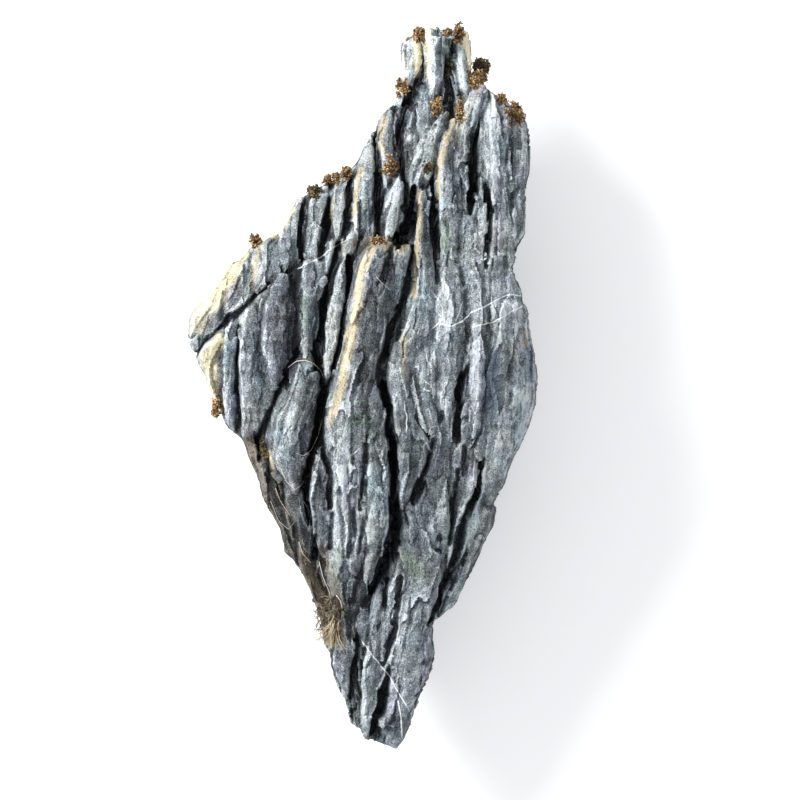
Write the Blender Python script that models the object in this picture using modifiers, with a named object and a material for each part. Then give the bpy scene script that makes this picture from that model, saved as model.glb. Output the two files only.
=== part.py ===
"""Seiryu stone: one jagged pinnacle of folded blue-grey limestone, lying on its back, broad face up.

The stone is one solid. Dried moss tufts sit on its crests and a mat of dried roots hangs on its lower
left edge; each of these is a small solid of its own, a hair's breadth clear of the rock.

World frame: metres, +Y along the stone from its tail to its crown, +X across it, +Z up through the
broad face. The origin is on the resting plane, under the middle of the stone.

The broad face is set out on a drawing sheet of half-millimetre squares, x to the right and y down.
"""

import math

import bmesh
import bpy
import numpy as np
from mathutils import Vector, noise
from mathutils.bvhtree import BVHTree

# ---------------------------------------------------------------- driving dimensions
MM = 0.001
LENGTH = 362 * MM               # tail tip to crown tip
SHEET_LENGTH = 724              # the same length in sheet squares
SQUARE = LENGTH / SHEET_LENGTH  # one sheet square, half a millimetre
SHEET_CENTRE = (363.0, 385.3)   # the sheet point above the origin

MIDDLE = 43.5 * MM              # height of the stone's widest outline above the resting plane
CORE_BELOW_FACE = 5 * MM        # the body lies this far under the crests of the front shards
CORE_BELOW_BACK = 9 * MM
DOME_POWER = 3.0                # roundness of the stone across its width
RIM_SHARE = 0.3                 # the face ends this part of its bulge above the level of the outline
SECTION_POWER = 2.8             # squareness of the body's cross-section
CORE_INSET = 0.95               # the body stops a little short of the shards that make the outline

FRONT_RING_STEP = 5             # sheet squares between two sections of a shard
GIRDLE_RING_STEP = 8
CORE_RING_STEP = 6
CORE_RING_POINTS = 18
CORE_TOP = 31                   # sheet y of the body's first and last cross-section
CORE_BOTTOM = 744
CORE_THINNEST = 2 * MM          # above and below the level of the outline
EDGE_WANDER = 1.1               # sheet squares a shard's edge strays from its drawn line
CREST_WANDER = 1.0 * MM
WANDER_PERIOD = 20              # sheet squares
WANDER_GAIN = 1.6               # brings the noise up to a span of about -1 to 1
FLANK_BREAK = 0.55              # a flank bends this part of its width up from its foot
FLANK_BREAK_RISE = 0.6          # where it has climbed this part of its height
SHARD_NARROWEST = 1             # sheet squares from foot to foot
CREST_CLEAR = 0.3               # sheet squares from a crest to either foot
WALL_DEPTH = 0.5                # a shard's walls reach about this part of the rim's depth

VOXEL = 1.1 * MM
GRAIN_WIDTH = 5.5 * MM          # the lengthwise flutes of the rock
GRAIN_LENGTH = 38 * MM
GRAIN_LEAN = 0.2                # the flutes lean this much to the right on their way up
GRAIN_DEPTH = 0.9 * MM
GRAIN_FINER = 2.3               # finer flutes lie on the broad ones, this many times as close
GRAIN_FINER_SHARE = 0.5
GRAIN_LEVEL = 0.8               # this share of the flutes' depth is sunk into the rock
STONE_TRIANGLES = 6900

TUFT_GAP = 0.3 * MM
TUFT_DEPTH = 0.55               # part of a tuft's height that lies under its rooting point
TUFT_LUMP = 0.25                # part of its size by which a tuft's skin goes in and out
TUFT_LUMP_PITCH = 1.9

# Half thickness of the stone in front of and behind its outline, in millimetres, by sheet y.
FRONT_BULGE = ((22, 9), (60, 14), (100, 19), (150, 25), (200, 32), (260, 39), (340, 45), (420, 45),
               (500, 41), (560, 34), (620, 27), (680, 20), (720, 14), (748, 8))
BACK_BULGE = ((22, 9), (60, 14), (100, 21), (150, 31), (200, 40), (260, 47), (340, 50), (430, 50),
              (500, 47), (560, 40), (620, 30), (680, 20), (720, 13), (748, 8))
# The line along which the stone is thickest, as sheet (y, x).
SPINE = ((22, 440), (100, 448), (180, 440), (250, 420), (330, 395), (430, 388), (550, 388), (748, 389))

# The stone's outline, as sheet (y, x), down its left side and down its right side.
LEFT_EDGE = ((28, 420), (34, 410), (42, 402), (50, 400), (80, 400), (92, 398), (104, 394),
             (110, 388), (116, 380), (124, 375), (134, 371), (144, 367), (153, 362), (164, 356),
             (169, 352), (175, 341), (181, 329), (188, 319), (194, 311), (197, 298), (208, 292),
             (218, 288), (228, 283), (234, 279), (239, 271), (244, 261), (250, 249), (261, 243),
             (264, 232), (273, 222), (287, 213), (298, 203), (310, 193), (320, 189), (335, 188),
             (346, 191), (358, 195), (366, 200), (373, 205), (385, 210), (400, 213), (408, 218),
             (416, 223), (427, 228), (433, 234), (437, 242), (443, 246), (455, 248), (465, 253),
             (480, 259), (497, 262), (510, 269), (530, 281), (551, 284), (560, 293), (570, 300),
             (580, 305), (590, 311), (603, 313), (616, 318), (632, 321), (646, 324), (652, 330),
             (664, 330), (676, 333), (690, 338), (701, 344), (715, 347), (723, 350), (728, 358),
             (738, 361), (743, 378), (747, 390))
RIGHT_EDGE = ((28, 466), (34, 471), (42, 473), (52, 474), (72, 472), (80, 478), (86, 486), (92, 492),
              (98, 497), (105, 507), (109, 517), (116, 525), (124, 528), (140, 530), (175, 529),
              (182, 527), (205, 526), (235, 525), (242, 521), (249, 516), (258, 517), (270, 512),
              (284, 517), (293, 522), (302, 521), (306, 527), (322, 529), (341, 531), (352, 534),
              (369, 536), (384, 538), (399, 537), (409, 534), (430, 528), (445, 522), (459, 512),
              (475, 508), (489, 502), (501, 494), (511, 497), (525, 494), (536, 487), (550, 482),
              (562, 477), (576, 470), (595, 460), (606, 455), (610, 446), (617, 440), (622, 429),
              (640, 433), (653, 435), (670, 433), (681, 428), (693, 421), (703, 418), (715, 414),
              (728, 408), (739, 405), (746, 399))

# ---------------------------------------------------------------- the shards of the broad face
# A shard is a name, how far in millimetres its left and right foot lie below its crest, and its
# sections from top to bottom. A section is y, left foot, crest, right foot, and how far in
# millimetres the crest stands above (or below) the dome of the face.
CROWN_SHARDS = (
    ("finger left", 4, 5, ((35, 410, 413, 418, -3), (42, 403, 411, 421, 0), (60, 400, 411, 421, 2),
                           (80, 400, 410, 419, 2), (96, 398, 404, 411, 0), (108, 393, 399, 404, -4))),
    ("finger middle", 4, 4, ((29, 425, 429, 435, -2), (38, 424, 431, 446, 1), (60, 426, 433, 447, 2),
                             (80, 426, 433, 445, 1), (96, 427, 432, 441, 0), (108, 427, 430, 436, -4))),
    ("finger right", 4, 5, ((29, 459, 464, 469, -2), (38, 456, 462, 473, 0), (60, 455, 463, 474, 1),
                            (80, 457, 464, 474, 0), (94, 460, 466, 472, -1), (108, 463, 466, 470, -5))),
    ("crown inner face", 3, 5, ((78, 408, 412, 421, -4), (96, 406, 411, 421, -5), (114, 409, 413, 418, -9))),
    ("crown rib", 4, 4, ((84, 413, 421, 430, -3), (100, 412, 424, 441, -1), (120, 414, 428, 442, 0),
                         (140, 416, 427, 437, 0), (153, 419, 426, 433, -4))),
    ("crown knob", 3, 4, ((131, 406, 411, 417, -6), (142, 404, 411, 420, -3), (153, 406, 411, 418, -7))),
    ("slant rib", 4, 5, ((115, 440, 444, 447, -2), (130, 427, 437, 447, 1), (150, 415, 427, 438, 2),
                         (166, 413, 424, 437, 2), (180, 412, 420, 431, 0), (194, 412, 416, 423, -5))),
    ("cream ridge", 5, 4, ((122, 448, 452, 457, 0), (145, 440, 446, 455, 3), (166, 436, 441, 453, 3),
                           (188, 437, 442, 453, 2), (215, 438, 444, 456, 0), (245, 437, 447, 458, -1),
                           (268, 439, 448, 458, -2), (282, 443, 449, 455, -5))),
    ("pink ridge", 5, 5, ((83, 475, 480, 486, -1), (100, 466, 474, 483, 1), (120, 458, 466, 478, 2),
                          (140, 451, 459, 467, 2), (165, 449, 457, 466, 1), (195, 452, 460, 469, 0),
                          (220, 455, 462, 468, -2), (240, 457, 461, 465, -6))),
    ("crown mass", 5, 2, ((91, 486, 493, 497, -3), (104, 482, 494, 511, 1), (125, 480, 492, 510, 3),
                          (150, 481, 493, 509, 3), (180, 482, 495, 509, 2), (205, 488, 499, 509, 1),
                          (235, 491, 502, 511, 0), (262, 492, 501, 509, -2), (275, 496, 501, 506, -6))),
    ("crown rim", 2, 7, ((103, 505, 512, 518, -3), (115, 512, 520, 527, -1), (140, 514, 522, 530, 1),
                         (175, 513, 521, 529, 1), (200, 512, 519, 526, 0), (236, 511, 517, 524, -1),
                         (252, 508, 513, 517, -4))),
    ("pit floor", 2, 2, ((186, 469, 474, 482, -6), (212, 465, 474, 484, -1), (240, 462, 474, 486, 0),
                         (262, 461, 473, 492, 0), (285, 464, 474, 488, -2), (300, 468, 474, 480, -6))),
)
UPPER_SHARDS = (
    ("rib i", 5, 5, ((108, 388, 392, 396, -3), (118, 380, 388, 397, 0), (140, 377, 386, 397, 1),
                     (160, 380, 387, 395, 1), (180, 382, 388, 393, -1), (191, 384, 387, 390, -5))),
    ("rib j", 4, 5, ((132, 369, 372, 375, -2), (150, 361, 367, 373, 0), (170, 357, 365, 374, 1),
                     (190, 354, 364, 375, 1), (215, 353, 362, 374, 0), (242, 352, 360, 368, -4))),
    ("rib k", 4, 4, ((171, 343, 348, 353, -2), (186, 336, 345, 351, 0), (205, 332, 342, 350, 1),
                     (220, 330, 341, 348, 1), (235, 333, 340, 345, -1), (247, 335, 338, 341, -5))),
    ("rib l", 4, 4, ((184, 320, 325, 330, -2), (198, 309, 320, 330, 0), (215, 306, 318, 328, 1),
                     (235, 306, 317, 325, 1), (255, 307, 315, 322, -1), (269, 309, 313, 318, -5))),
    ("dark rib", 4, 3, ((199, 295, 299, 303, -2), (215, 289, 295, 303, -1), (240, 284, 293, 304, -1),
                        (262, 283, 291, 302, -2), (277, 285, 289, 295, -6))),
    ("leaf flake", 4, 5, ((177, 398, 401, 403, -2), (190, 391, 398, 404, 2), (205, 385, 396, 402, 3),
                          (222, 384, 393, 400, 2), (238, 384, 389, 396, 0), (250, 385, 387, 389, -6))),
    ("leaf flake lobe", 2, 4, ((208, 402, 405, 407, -4), (222, 400, 404, 408, -1), (237, 401, 404, 407, -4))),
    ("recess wall", 3, 3, ((146, 405, 411, 414, -9), (180, 407, 412, 417, -8), (215, 407, 412, 416, -9),
                           (246, 408, 412, 415, -12))),
    ("long rib", 5, 6, ((188, 420, 424, 429, -3), (204, 417, 421, 430, 2), (230, 416, 421, 430, 3),
                        (250, 413, 419, 431, 3), (280, 416, 422, 433, 3), (300, 411, 419, 435, 3),
                        (325, 404, 414, 432, 3), (345, 398, 409, 426, 3), (362, 394, 404, 418, 2),
                        (380, 394, 402, 412, -2))),
    ("half block", 3, 5, ((247, 394, 401, 411, 2), (256, 392, 401, 413, 4), (276, 391, 400, 409, 4),
                          (296, 391, 397, 405, 2), (313, 390, 394, 400, -3))),
    ("sliver", 3, 4, ((334, 384, 386, 389, -2), (352, 381, 384, 389, 1), (370, 381, 385, 391, 0),
                      (396, 386, 390, 394, -5))),
    ("step shards", 3, 4, ((225, 350, 354, 358, -3), (240, 343, 350, 357, -1), (256, 342, 348, 354, -2),
                           (269, 343, 347, 351, -5))),
    ("brow", 3, 3, ((214, 377, 380, 383, -6), (232, 366, 374, 384, -4), (246, 360, 374, 388, -4),
                    (258, 358, 366, 380, -6))),
)
WING_SHARDS = (
    ("wing block", 4, 2, ((257, 236, 240, 245, -2), (272, 222, 234, 246, 0), (290, 210, 226, 246, 1),
                          (308, 195, 215, 244, 1), (320, 189, 208, 231, 0), (331, 188, 203, 221, -1),
                          (342, 190, 199, 209, -3), (351, 194, 198, 202, -6))),
    ("wing rib r", 2, 4, ((250, 243, 246, 250, -1), (272, 241, 248, 255, 1), (292, 243, 250, 262, 1),
                          (304, 244, 248, 253, 0), (312, 244, 246, 248, -4))),
    ("wing rib p", 4, 3, ((234, 270, 274, 279, -1), (246, 254, 265, 279, 1), (262, 252, 264, 282, 2),
                          (275, 252, 264, 283, 2), (287, 253, 261, 272, 1), (295, 252, 255, 259, -3))),
    ("wing rib q", 3, 4, ((206, 290, 294, 298, -2), (222, 284, 291, 296, 0), (245, 281, 288, 296, 0),
                          (264, 281, 287, 296, 0), (277, 283, 287, 292, -4))),
    ("wing rib w", 3, 3, ((249, 316, 322, 328, -2), (265, 315, 322, 330, 0), (285, 314, 320, 328, 0),
                          (303, 313, 317, 322, -4))),
    ("wing rib y", 3, 4, ((243, 331, 334, 339, -1), (258, 325, 331, 339, 0), (275, 323, 329, 334, 0),
                          (293, 322, 325, 329, -4))),
    ("cream block", 4, 3, ((332, 219, 223, 228, -2), (345, 206, 216, 230, 0), (360, 198, 212, 230, 1),
                           (378, 206, 214, 228, 1), (395, 211, 217, 227, 0), (411, 217, 221, 226, -2),
                           (425, 226, 228, 230, -5))),
    ("thin blade", 4, 5, ((317, 233, 237, 241, -1), (335, 226, 232, 240, 1), (360, 224, 231, 238, 2),
                          (385, 224, 229, 236, 2), (405, 225, 230, 237, 1), (425, 228, 233, 238, 0),
                          (437, 235, 237, 239, -4))),
    ("wing shard t", 4, 3, ((302, 248, 253, 258, -1), (320, 243, 250, 262, 1), (345, 242, 251, 266, 2),
                            (370, 242, 250, 261, 2), (395, 242, 251, 267, 1), (420, 243, 253, 267, 1),
                            (437, 244, 252, 262, -1), (452, 250, 254, 258, -5))),
    ("wing shard u", 4, 4, ((275, 281, 285, 290, 0), (290, 271, 281, 291, 2), (310, 265, 278, 291, 3),
                            (330, 263, 276, 290, 3), (350, 264, 275, 288, 3), (370, 268, 276, 284, 2),
                            (389, 274, 277, 281, -2))),
    ("purple face", 1, 2, ((283, 291, 295, 300, -4), (310, 290, 295, 303, -3), (340, 289, 294, 303, -3),
                           (365, 287, 292, 300, -4), (386, 284, 287, 291, -8))),
    ("wing shard v", 2, 4, ((263, 306, 311, 317, -1), (280, 304, 311, 321, 1), (305, 303, 310, 319, 1),
                            (330, 303, 309, 317, 1), (350, 303, 308, 314, 0), (364, 304, 308, 313, -3))),
    ("blade x", 4, 5, ((261, 343, 347, 351, -2), (276, 337, 344, 348, 0), (300, 331, 340, 348, 1),
                       (325, 328, 337, 344, 1), (350, 326, 334, 341, 0), (371, 325, 331, 337, -1),
                       (391, 326, 328, 330, -5))),
    ("pale block", 4, 6, ((354, 303, 308, 314, -2), (370, 300, 309, 318, 1), (395, 289, 304, 319, 2),
                          (415, 278, 297, 318, 3), (435, 272, 292, 316, 3), (455, 271, 290, 311, 3),
                          (472, 279, 293, 307, 2), (486, 290, 296, 302, 0), (494, 295, 297, 299, -4))),
    ("wing floor", 2, 2, ((372, 262, 272, 282, -5), (400, 262, 270, 278, -4), (425, 258, 265, 272, -4),
                          (445, 256, 261, 268, -6))),
)
PILLAR_SHARDS = (
    ("pillar", 7, 3, ((245, 372, 379, 393, 2), (251, 368, 376, 394, 6), (268, 360, 369, 386, 8),
                      (283, 357, 365, 381, 8), (300, 353, 362, 385, 8), (330, 348, 358, 384, 8),
                      (360, 341, 353, 379, 8), (385, 335, 349, 379, 8), (400, 330, 346, 384, 8),
                      (420, 327, 346, 383, 8), (445, 327, 344, 372, 8), (470, 329, 343, 366, 8),
                      (500, 331, 343, 364, 7), (520, 332, 344, 364, 6), (545, 334, 345, 362, 4),
                      (575, 334, 345, 356, 2), (600, 340, 347, 353, -2), (609, 344, 346, 349, -6))),
    ("pillar right slab", 2, 8, ((425, 372, 377, 384, 4), (445, 366, 375, 390, 6), (470, 366, 377, 390, 7),
                                 (500, 364, 377, 391, 7), (520, 364, 376, 393, 6), (540, 364, 375, 388, 5),
                                 (560, 364, 371, 378, 3), (578, 364, 367, 372, 0), (592, 366, 368, 370, -4))),
    ("pillar left lobe", 6, 2, ((446, 319, 321, 324, 0), (456, 316, 322, 327, 4), (475, 313, 322, 331, 5),
                                (500, 311, 320, 331, 5), (520, 314, 322, 334, 4), (540, 316, 325, 334, 2),
                                (556, 322, 328, 334, -3))),
    ("pillar heel", 2, 5, ((540, 356, 364, 371, -1), (560, 356, 362, 369, -3), (585, 354, 359, 366, -5),
                           (603, 352, 356, 361, -8))),
    ("ridge", 4, 7, ((343, 392, 402, 410, 0), (360, 389, 400, 413, 3), (380, 386, 400, 415, 4),
                     (400, 388, 402, 417, 4), (420, 391, 404, 420, 4), (440, 395, 408, 428, 5),
                     (460, 398, 410, 426, 5), (480, 399, 408, 419, 5), (496, 399, 405, 413, 4),
                     (507, 401, 403, 406, 1))),
    ("ridge flake", 2, 5, ((338, 413, 422, 431, 0), (360, 413, 422, 432, 2), (385, 415, 424, 433, 3),
                           (405, 417, 427, 437, 3), (422, 420, 429, 441, 3), (438, 430, 434, 441, 2),
                           (452, 432, 435, 439, 1), (464, 430, 432, 435, -3))),
)
RIGHT_SHARDS = (
    ("face left", 4, 2, ((262, 440, 449, 460, -2), (285, 437, 449, 463, 1), (320, 434, 449, 465, 3),
                         (350, 433, 449, 467, 4), (375, 434, 448, 461, 4), (390, 435, 446, 457, 4),
                         (402, 437, 445, 453, 3), (422, 440, 445, 450, 1), (442, 441, 444, 448, -3),
                         (458, 441, 443, 445, -7))),
    ("face middle", 2, 2, ((262, 462, 474, 490, 0), (290, 464, 477, 490, 2), (315, 465, 478, 490, 3),
                           (345, 469, 475, 487, 4), (375, 469, 475, 482, 4), (400, 468, 474, 481, 3),
                           (424, 468, 474, 482, 2), (434, 468, 472, 480, -1), (443, 465, 468, 472, -5))),
    ("face right", 2, 3, ((258, 493, 500, 509, -1), (290, 489, 498, 511, 1), (325, 489, 498, 513, 1),
                          (350, 488, 497, 511, 1), (380, 484, 495, 508, 1), (410, 484, 496, 508, 1),
                          (440, 485, 496, 509, 1), (465, 483, 495, 508, 1), (490, 479, 489, 501, 0),
                          (503, 479, 486, 494, -3))),
    ("rim tooth", 2, 6, ((267, 507, 510, 513, -3), (282, 507, 513, 518, 0), (298, 509, 516, 522, 0),
                         (316, 512, 516, 520, -4))),
    ("rim slab", 2, 8, ((300, 518, 522, 526, -2), (312, 515, 523, 529, 0), (335, 514, 523, 531, 1),
                        (355, 512, 525, 535, 1), (385, 511, 526, 538, 1), (405, 511, 523, 536, 1),
                        (430, 510, 518, 528, 1), (450, 508, 513, 520, 0), (470, 500, 505, 510, -1),
                        (490, 495, 498, 502, -4))),
    ("knife ridge", 4, 8, ((436, 471, 476, 482, -3), (450, 466, 473, 484, 0), (470, 465, 472, 479, 1),
                           (490, 461, 470, 475, 2), (505, 458, 466, 470, 2), (520, 455, 460, 464, 2),
                           (540, 449, 453, 457, 1), (558, 446, 449, 452, -1), (573, 442, 445, 447, -5))),
    ("lower rib left", 3, 2, ((452, 440, 446, 452, -4), (470, 432, 442, 450, -2), (490, 428, 440, 448, 0),
                              (510, 428, 440, 448, 1), (530, 430, 440, 447, 0), (552, 436, 441, 446, -4))),
    ("lower rib right", 2, 3, ((446, 450, 456, 462, -4), (470, 450, 456, 462, -3), (492, 449, 455, 461, -3),
                               (515, 449, 453, 457, -4), (535, 447, 450, 453, -7))),
    ("hidden flank", 3, 5, ((494, 478, 485, 492, -5), (508, 472, 485, 497, -2), (530, 468, 480, 491, -2),
                            (550, 463, 472, 482, -3), (575, 452, 461, 470, -4), (600, 442, 450, 457, -4),
                            (616, 434, 438, 442, -6), (623, 431, 432, 434, -9))),
)
TAIL_SHARDS = (
    ("tail face", 4, 5, ((466, 420, 428, 434, -5), (486, 414, 424, 434, -2), (508, 404, 420, 436, 1),
                         (530, 401, 424, 440, 2), (550, 400, 426, 441, 3), (575, 404, 425, 440, 3),
                         (600, 402, 420, 434, 3), (620, 400, 417, 429, 3), (640, 395, 414, 432, 3),
                         (660, 391, 411, 434, 3), (680, 391, 408, 428, 2), (700, 392, 406, 418, 2),
                         (716, 388, 404, 414, 1), (732, 382, 400, 408, 0), (746, 382, 392, 400, -3))),
    ("tail rib", 3, 2, ((550, 394, 399, 404, -3), (575, 391, 397, 403, 0), (600, 387, 394, 400, 0),
                        (620, 381, 388, 396, 0), (640, 380, 386, 392, 0), (656, 380, 383, 388, -1),
                        (670, 380, 382, 384, -5))),
    ("tail prong", 3, 3, ((574, 376, 380, 383, -5), (600, 372, 378, 382, -1), (620, 369, 376, 381, -1),
                          (640, 366, 374, 381, -1), (660, 363, 372, 381, -1), (680, 362, 372, 383, -1),
                          (700, 361, 370, 381, -1), (716, 360, 366, 373, -1), (730, 360, 365, 370, -2),
                          (741, 362, 364, 367, -5))),
    ("tail left", 3, 4, ((596, 336, 344, 350, -6), (625, 329, 342, 353, -2), (650, 330, 344, 357, -1),
                         (675, 333, 343, 354, -1), (696, 341, 346, 352, -2), (712, 346, 349, 352, -4),
                         (724, 348, 350, 352, -6))),
    ("tail heel", 2, 2, ((596, 352, 360, 370, -6), (625, 354, 361, 370, -4), (645, 358, 362, 368, -6))),
)
FLANK_SHARDS = (
    ("flank outer", 3, 3, ((434, 241, 247, 254, -5), (455, 248, 258, 269, -2), (475, 256, 264, 275, -2),
                           (500, 263, 272, 284, -2), (526, 279, 285, 293, -2), (546, 283, 289, 297, -3),
                           (561, 293, 296, 300, -6))),
    ("flank inner", 3, 3, ((478, 284, 292, 302, -5), (500, 283, 295, 308, -3), (522, 288, 299, 311, -3),
                           (546, 294, 304, 313, -4), (572, 300, 308, 317, -4), (597, 312, 319, 327, -5),
                           (618, 318, 325, 332, -5), (644, 324, 330, 336, -5))),
    ("flank step", 3, 3, ((545, 316, 323, 332, -7), (570, 318, 326, 334, -6), (596, 326, 333, 340, -6),
                          (612, 332, 338, 343, -8))),
)
# Broad, low shards that the others stand on.
BED_SHARDS = (
    ("face bed", 3, 4, ((112, 480, 500, 524, -1), (150, 470, 495, 526, -1), (200, 442, 488, 521, -1),
                        (260, 440, 480, 513, 0), (300, 424, 475, 521, 1), (350, 412, 470, 530, 2),
                        (400, 408, 465, 532, 2), (450, 408, 455, 515, 0), (500, 406, 450, 488, -2),
                        (550, 400, 435, 470, -1), (600, 380, 420, 445, 0), (660, 364, 405, 430, 0),
                        (715, 362, 390, 410, -1), (735, 376, 390, 400, -5))),
    ("pillar bed", 4, 4, ((262, 368, 384, 402, 1), (300, 358, 378, 394, 4), (350, 350, 370, 384, 5),
                          (400, 338, 362, 384, 5), (450, 328, 355, 388, 7), (500, 328, 352, 390, 6.5),
                          (540, 328, 352, 386, 5), (570, 326, 350, 380, 1), (600, 325, 350, 370, -3), (640, 335, 350, 365, -4))),
    ("wing bed", 3, 3, ((262, 240, 285, 335, -4), (300, 215, 270, 330, -3), (350, 205, 265, 320, -3),
                        (400, 218, 268, 310, -3), (440, 240, 270, 300, -4), (470, 258, 280, 300, -6))),
)
FRONT_SHARDS = (CROWN_SHARDS + UPPER_SHARDS + WING_SHARDS + PILLAR_SHARDS + RIGHT_SHARDS
                + TAIL_SHARDS + FLANK_SHARDS + BED_SHARDS)

# ---------------------------------------------------------------- the clefts of the broad face
CLEFT_EASE = 0.8                # sheet squares added to each side for the sloping lip
CLEFT_FADE = 8 * MM             # a cleft dies out over this height above the level of the outline
CLEFT_FLOOR = 1.35              # above 1, so that a cleft has a floor between its sloping sides
# A cleft is its depth in millimetres and its route, as sheet x, y and width.
CLEFTS = (
    (5.7, ((423, 46, 4), (424, 70, 5), (420, 84, 8), (417, 100, 9), (413, 112, 5))),
    (10.1, ((411, 92, 3), (408, 105, 8), (403, 125, 9), (400, 138, 8), (401, 150, 7), (402, 170, 7),
          (406, 190, 6), (405, 214, 5))),
    (5.7, ((451, 40, 3), (451, 60, 8), (449, 80, 9), (451, 100, 13), (451, 118, 10), (447, 134, 2))),
    (2.5, ((462, 112, 3), (460, 130, 4), (457, 152, 3))),
    (13.7, ((478, 126, 2), (474, 144, 9), (472, 166, 12), (473, 192, 9), (469, 218, 2))),
    (11.8, ((485, 184, 2), (487, 208, 8), (487, 236, 7), (485, 270, 2))),
    (2.5, ((511, 120, 2), (511, 150, 4), (510, 178, 3))),
    (11, ((378, 114, 4), (376, 142, 7), (378, 165, 9), (379, 200, 10), (380, 240, 8))),
    (8, ((353, 176, 3), (351, 200, 6), (350, 225, 6), (345, 244, 3))),
    (8, ((331, 200, 3), (329, 220, 8), (325, 240, 8), (322, 262, 4))),
    (8, ((309, 192, 3), (305, 215, 8), (304, 236, 8), (304, 262, 4))),
    (22.7, ((414, 190, 5), (413, 210, 8), (410, 228, 12), (404, 240, 17), (402, 246, 16))),
    (2.5, ((424, 177, 4), (424, 186, 10), (422, 195, 6))),
    (11.8, ((433, 179, 3), (434, 200, 7), (434, 240, 7), (435, 262, 6), (436, 285, 3))),
    (7, ((202, 352, 5), (210, 343, 4), (222, 331, 5), (234, 320, 8), (247, 309, 9), (258, 299, 4),
          (270, 288, 3))),
    (0.6, ((270, 288, 2), (285, 278, 5), (300, 268, 3), (322, 257, 1.5), (336, 246, 2))),
    (3.4, ((229, 292, 4), (226, 308, 6), (224, 320, 5))),
    (1.8, ((248, 274, 3), (247, 290, 4), (247, 304, 3))),
    (11.8, ((340, 248, 5), (331, 280, 7), (325, 310, 8), (321, 340, 8), (317, 352, 8), (322, 362, 9),
          (325, 385, 7))),
    (15.8, ((351, 258, 4), (351, 285, 6), (347, 310, 5), (341, 345, 5), (333, 375, 7), (326, 400, 12),
          (321, 430, 12), (314, 450, 9), (308, 475, 9), (309, 500, 7), (314, 522, 5), (315, 556, 5))),
    (8, ((243, 328, 4), (240, 360, 5), (239, 390, 5), (240, 420, 5), (240, 433, 6))),
    (1.8, ((264, 335, 5), (260, 360, 8), (257, 380, 4))),
    (7, ((301, 350, 4), (287, 378, 6), (278, 400, 7), (270, 420, 6), (263, 440, 6), (262, 460, 4))),
    (3.4, ((270, 455, 3), (272, 480, 3))),
    (7, ((393, 250, 4), (386, 270, 7), (378, 288, 3))),
    (10.1, ((414, 250, 5), (410, 275, 6), (404, 300, 6), (397, 318, 5), (389, 332, 8), (387, 352, 7),
          (380, 366, 6), (381, 380, 6), (386, 396, 8))),
    (20.2, ((383, 384, 6), (389, 402, 8), (388, 422, 8), (393, 445, 9), (395, 470, 9), (395, 500, 10),
          (397, 522, 11), (391, 548, 13), (382, 568, 11), (373, 588, 8))),
    (9, ((325, 442, 3), (327, 455, 7), (331, 470, 4))),
    (7, ((333, 466, 3), (332, 486, 5), (331, 506, 3))),
    (7, ((367, 434, 3), (366, 462, 6), (364, 484, 6), (362, 508, 3))),
    (4, ((348, 460, 3), (349, 471, 6), (350, 481, 3))),
    (6, ((334, 511, 3), (333, 526, 6), (331, 546, 3))),
    (6, ((354, 508, 3), (354, 530, 6), (351, 554, 4))),
    (5, ((366, 516, 3), (363, 534, 5), (360, 550, 3))),
    (8.5, ((433, 440, 5), (427, 463, 5), (421, 480, 6), (414, 500, 5))),
    (2, ((440, 414, 2), (438, 426, 3), (436, 436, 2))),
    (1.8, ((472, 357, 3), (469, 376, 3))),
    (13.7, ((466, 368, 3), (463, 378, 8), (459, 392, 8), (456, 408, 6), (455, 424, 5), (458, 446, 2))),
    (1.8, ((465, 447, 2), (471, 438, 2.5), (481, 432, 2))),
    (5.7, ((464, 447, 4), (463, 474, 4))),
    (5.7, ((458, 469, 4), (456, 490, 5), (452, 505, 5), (450, 540, 5))),
    (11.8, ((482, 458, 3), (479, 475, 4), (476, 493, 5), (470, 504, 7), (463, 517, 7), (461, 530, 8),
          (459, 545, 9), (455, 560, 9), (447, 576, 9), (441, 592, 9), (436, 606, 8), (430, 622, 7))),
    (4.5, ((440, 533, 3), (438, 550, 4))),
    (4.5, ((446, 554, 3), (445, 572, 5))),
    (7, ((401, 576, 4), (399, 600, 6), (395, 625, 6), (389, 645, 6), (383, 663, 3))),
    (4.5, ((387, 560, 8), (386, 580, 8), (384, 604, 3))),
    (11.8, ((390, 664, 2), (386, 690, 8), (383, 708, 9), (377, 720, 11), (374, 738, 10))),
    (7, ((359, 636, 6), (357, 655, 7), (353, 676, 6), (351, 697, 3))),
    (4.5, ((361, 692, 3), (359, 704, 4), (354, 712, 9), (353, 722, 8))),
    (3.4, ((422, 642, 2.5), (423, 656, 3), (420, 665, 4), (419, 680, 3))),
    (1.8, ((505, 250, 5), (507, 276, 4))),
    (1.8, ((466, 296, 4), (470, 320, 6), (468, 342, 4))),
    (1.8, ((487, 304, 3), (489, 325, 4), (490, 340, 4), (484, 360, 4), (482, 376, 3))),
    (1.8, ((519, 330, 4), (515, 350, 5), (509, 366, 4), (506, 379, 4))),
    (1.8, ((462, 215, 3), (459, 240, 4), (458, 262, 4), (462, 288, 3))),
    (2.5, ((368, 548, 4), (360, 575, 6), (354, 600, 5))),
    (1.8, ((324, 548, 8), (328, 575, 8), (333, 606, 9))),
    (1.8, ((516, 396, 3), (518, 420, 3), (510, 434, 4))),
)

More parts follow.
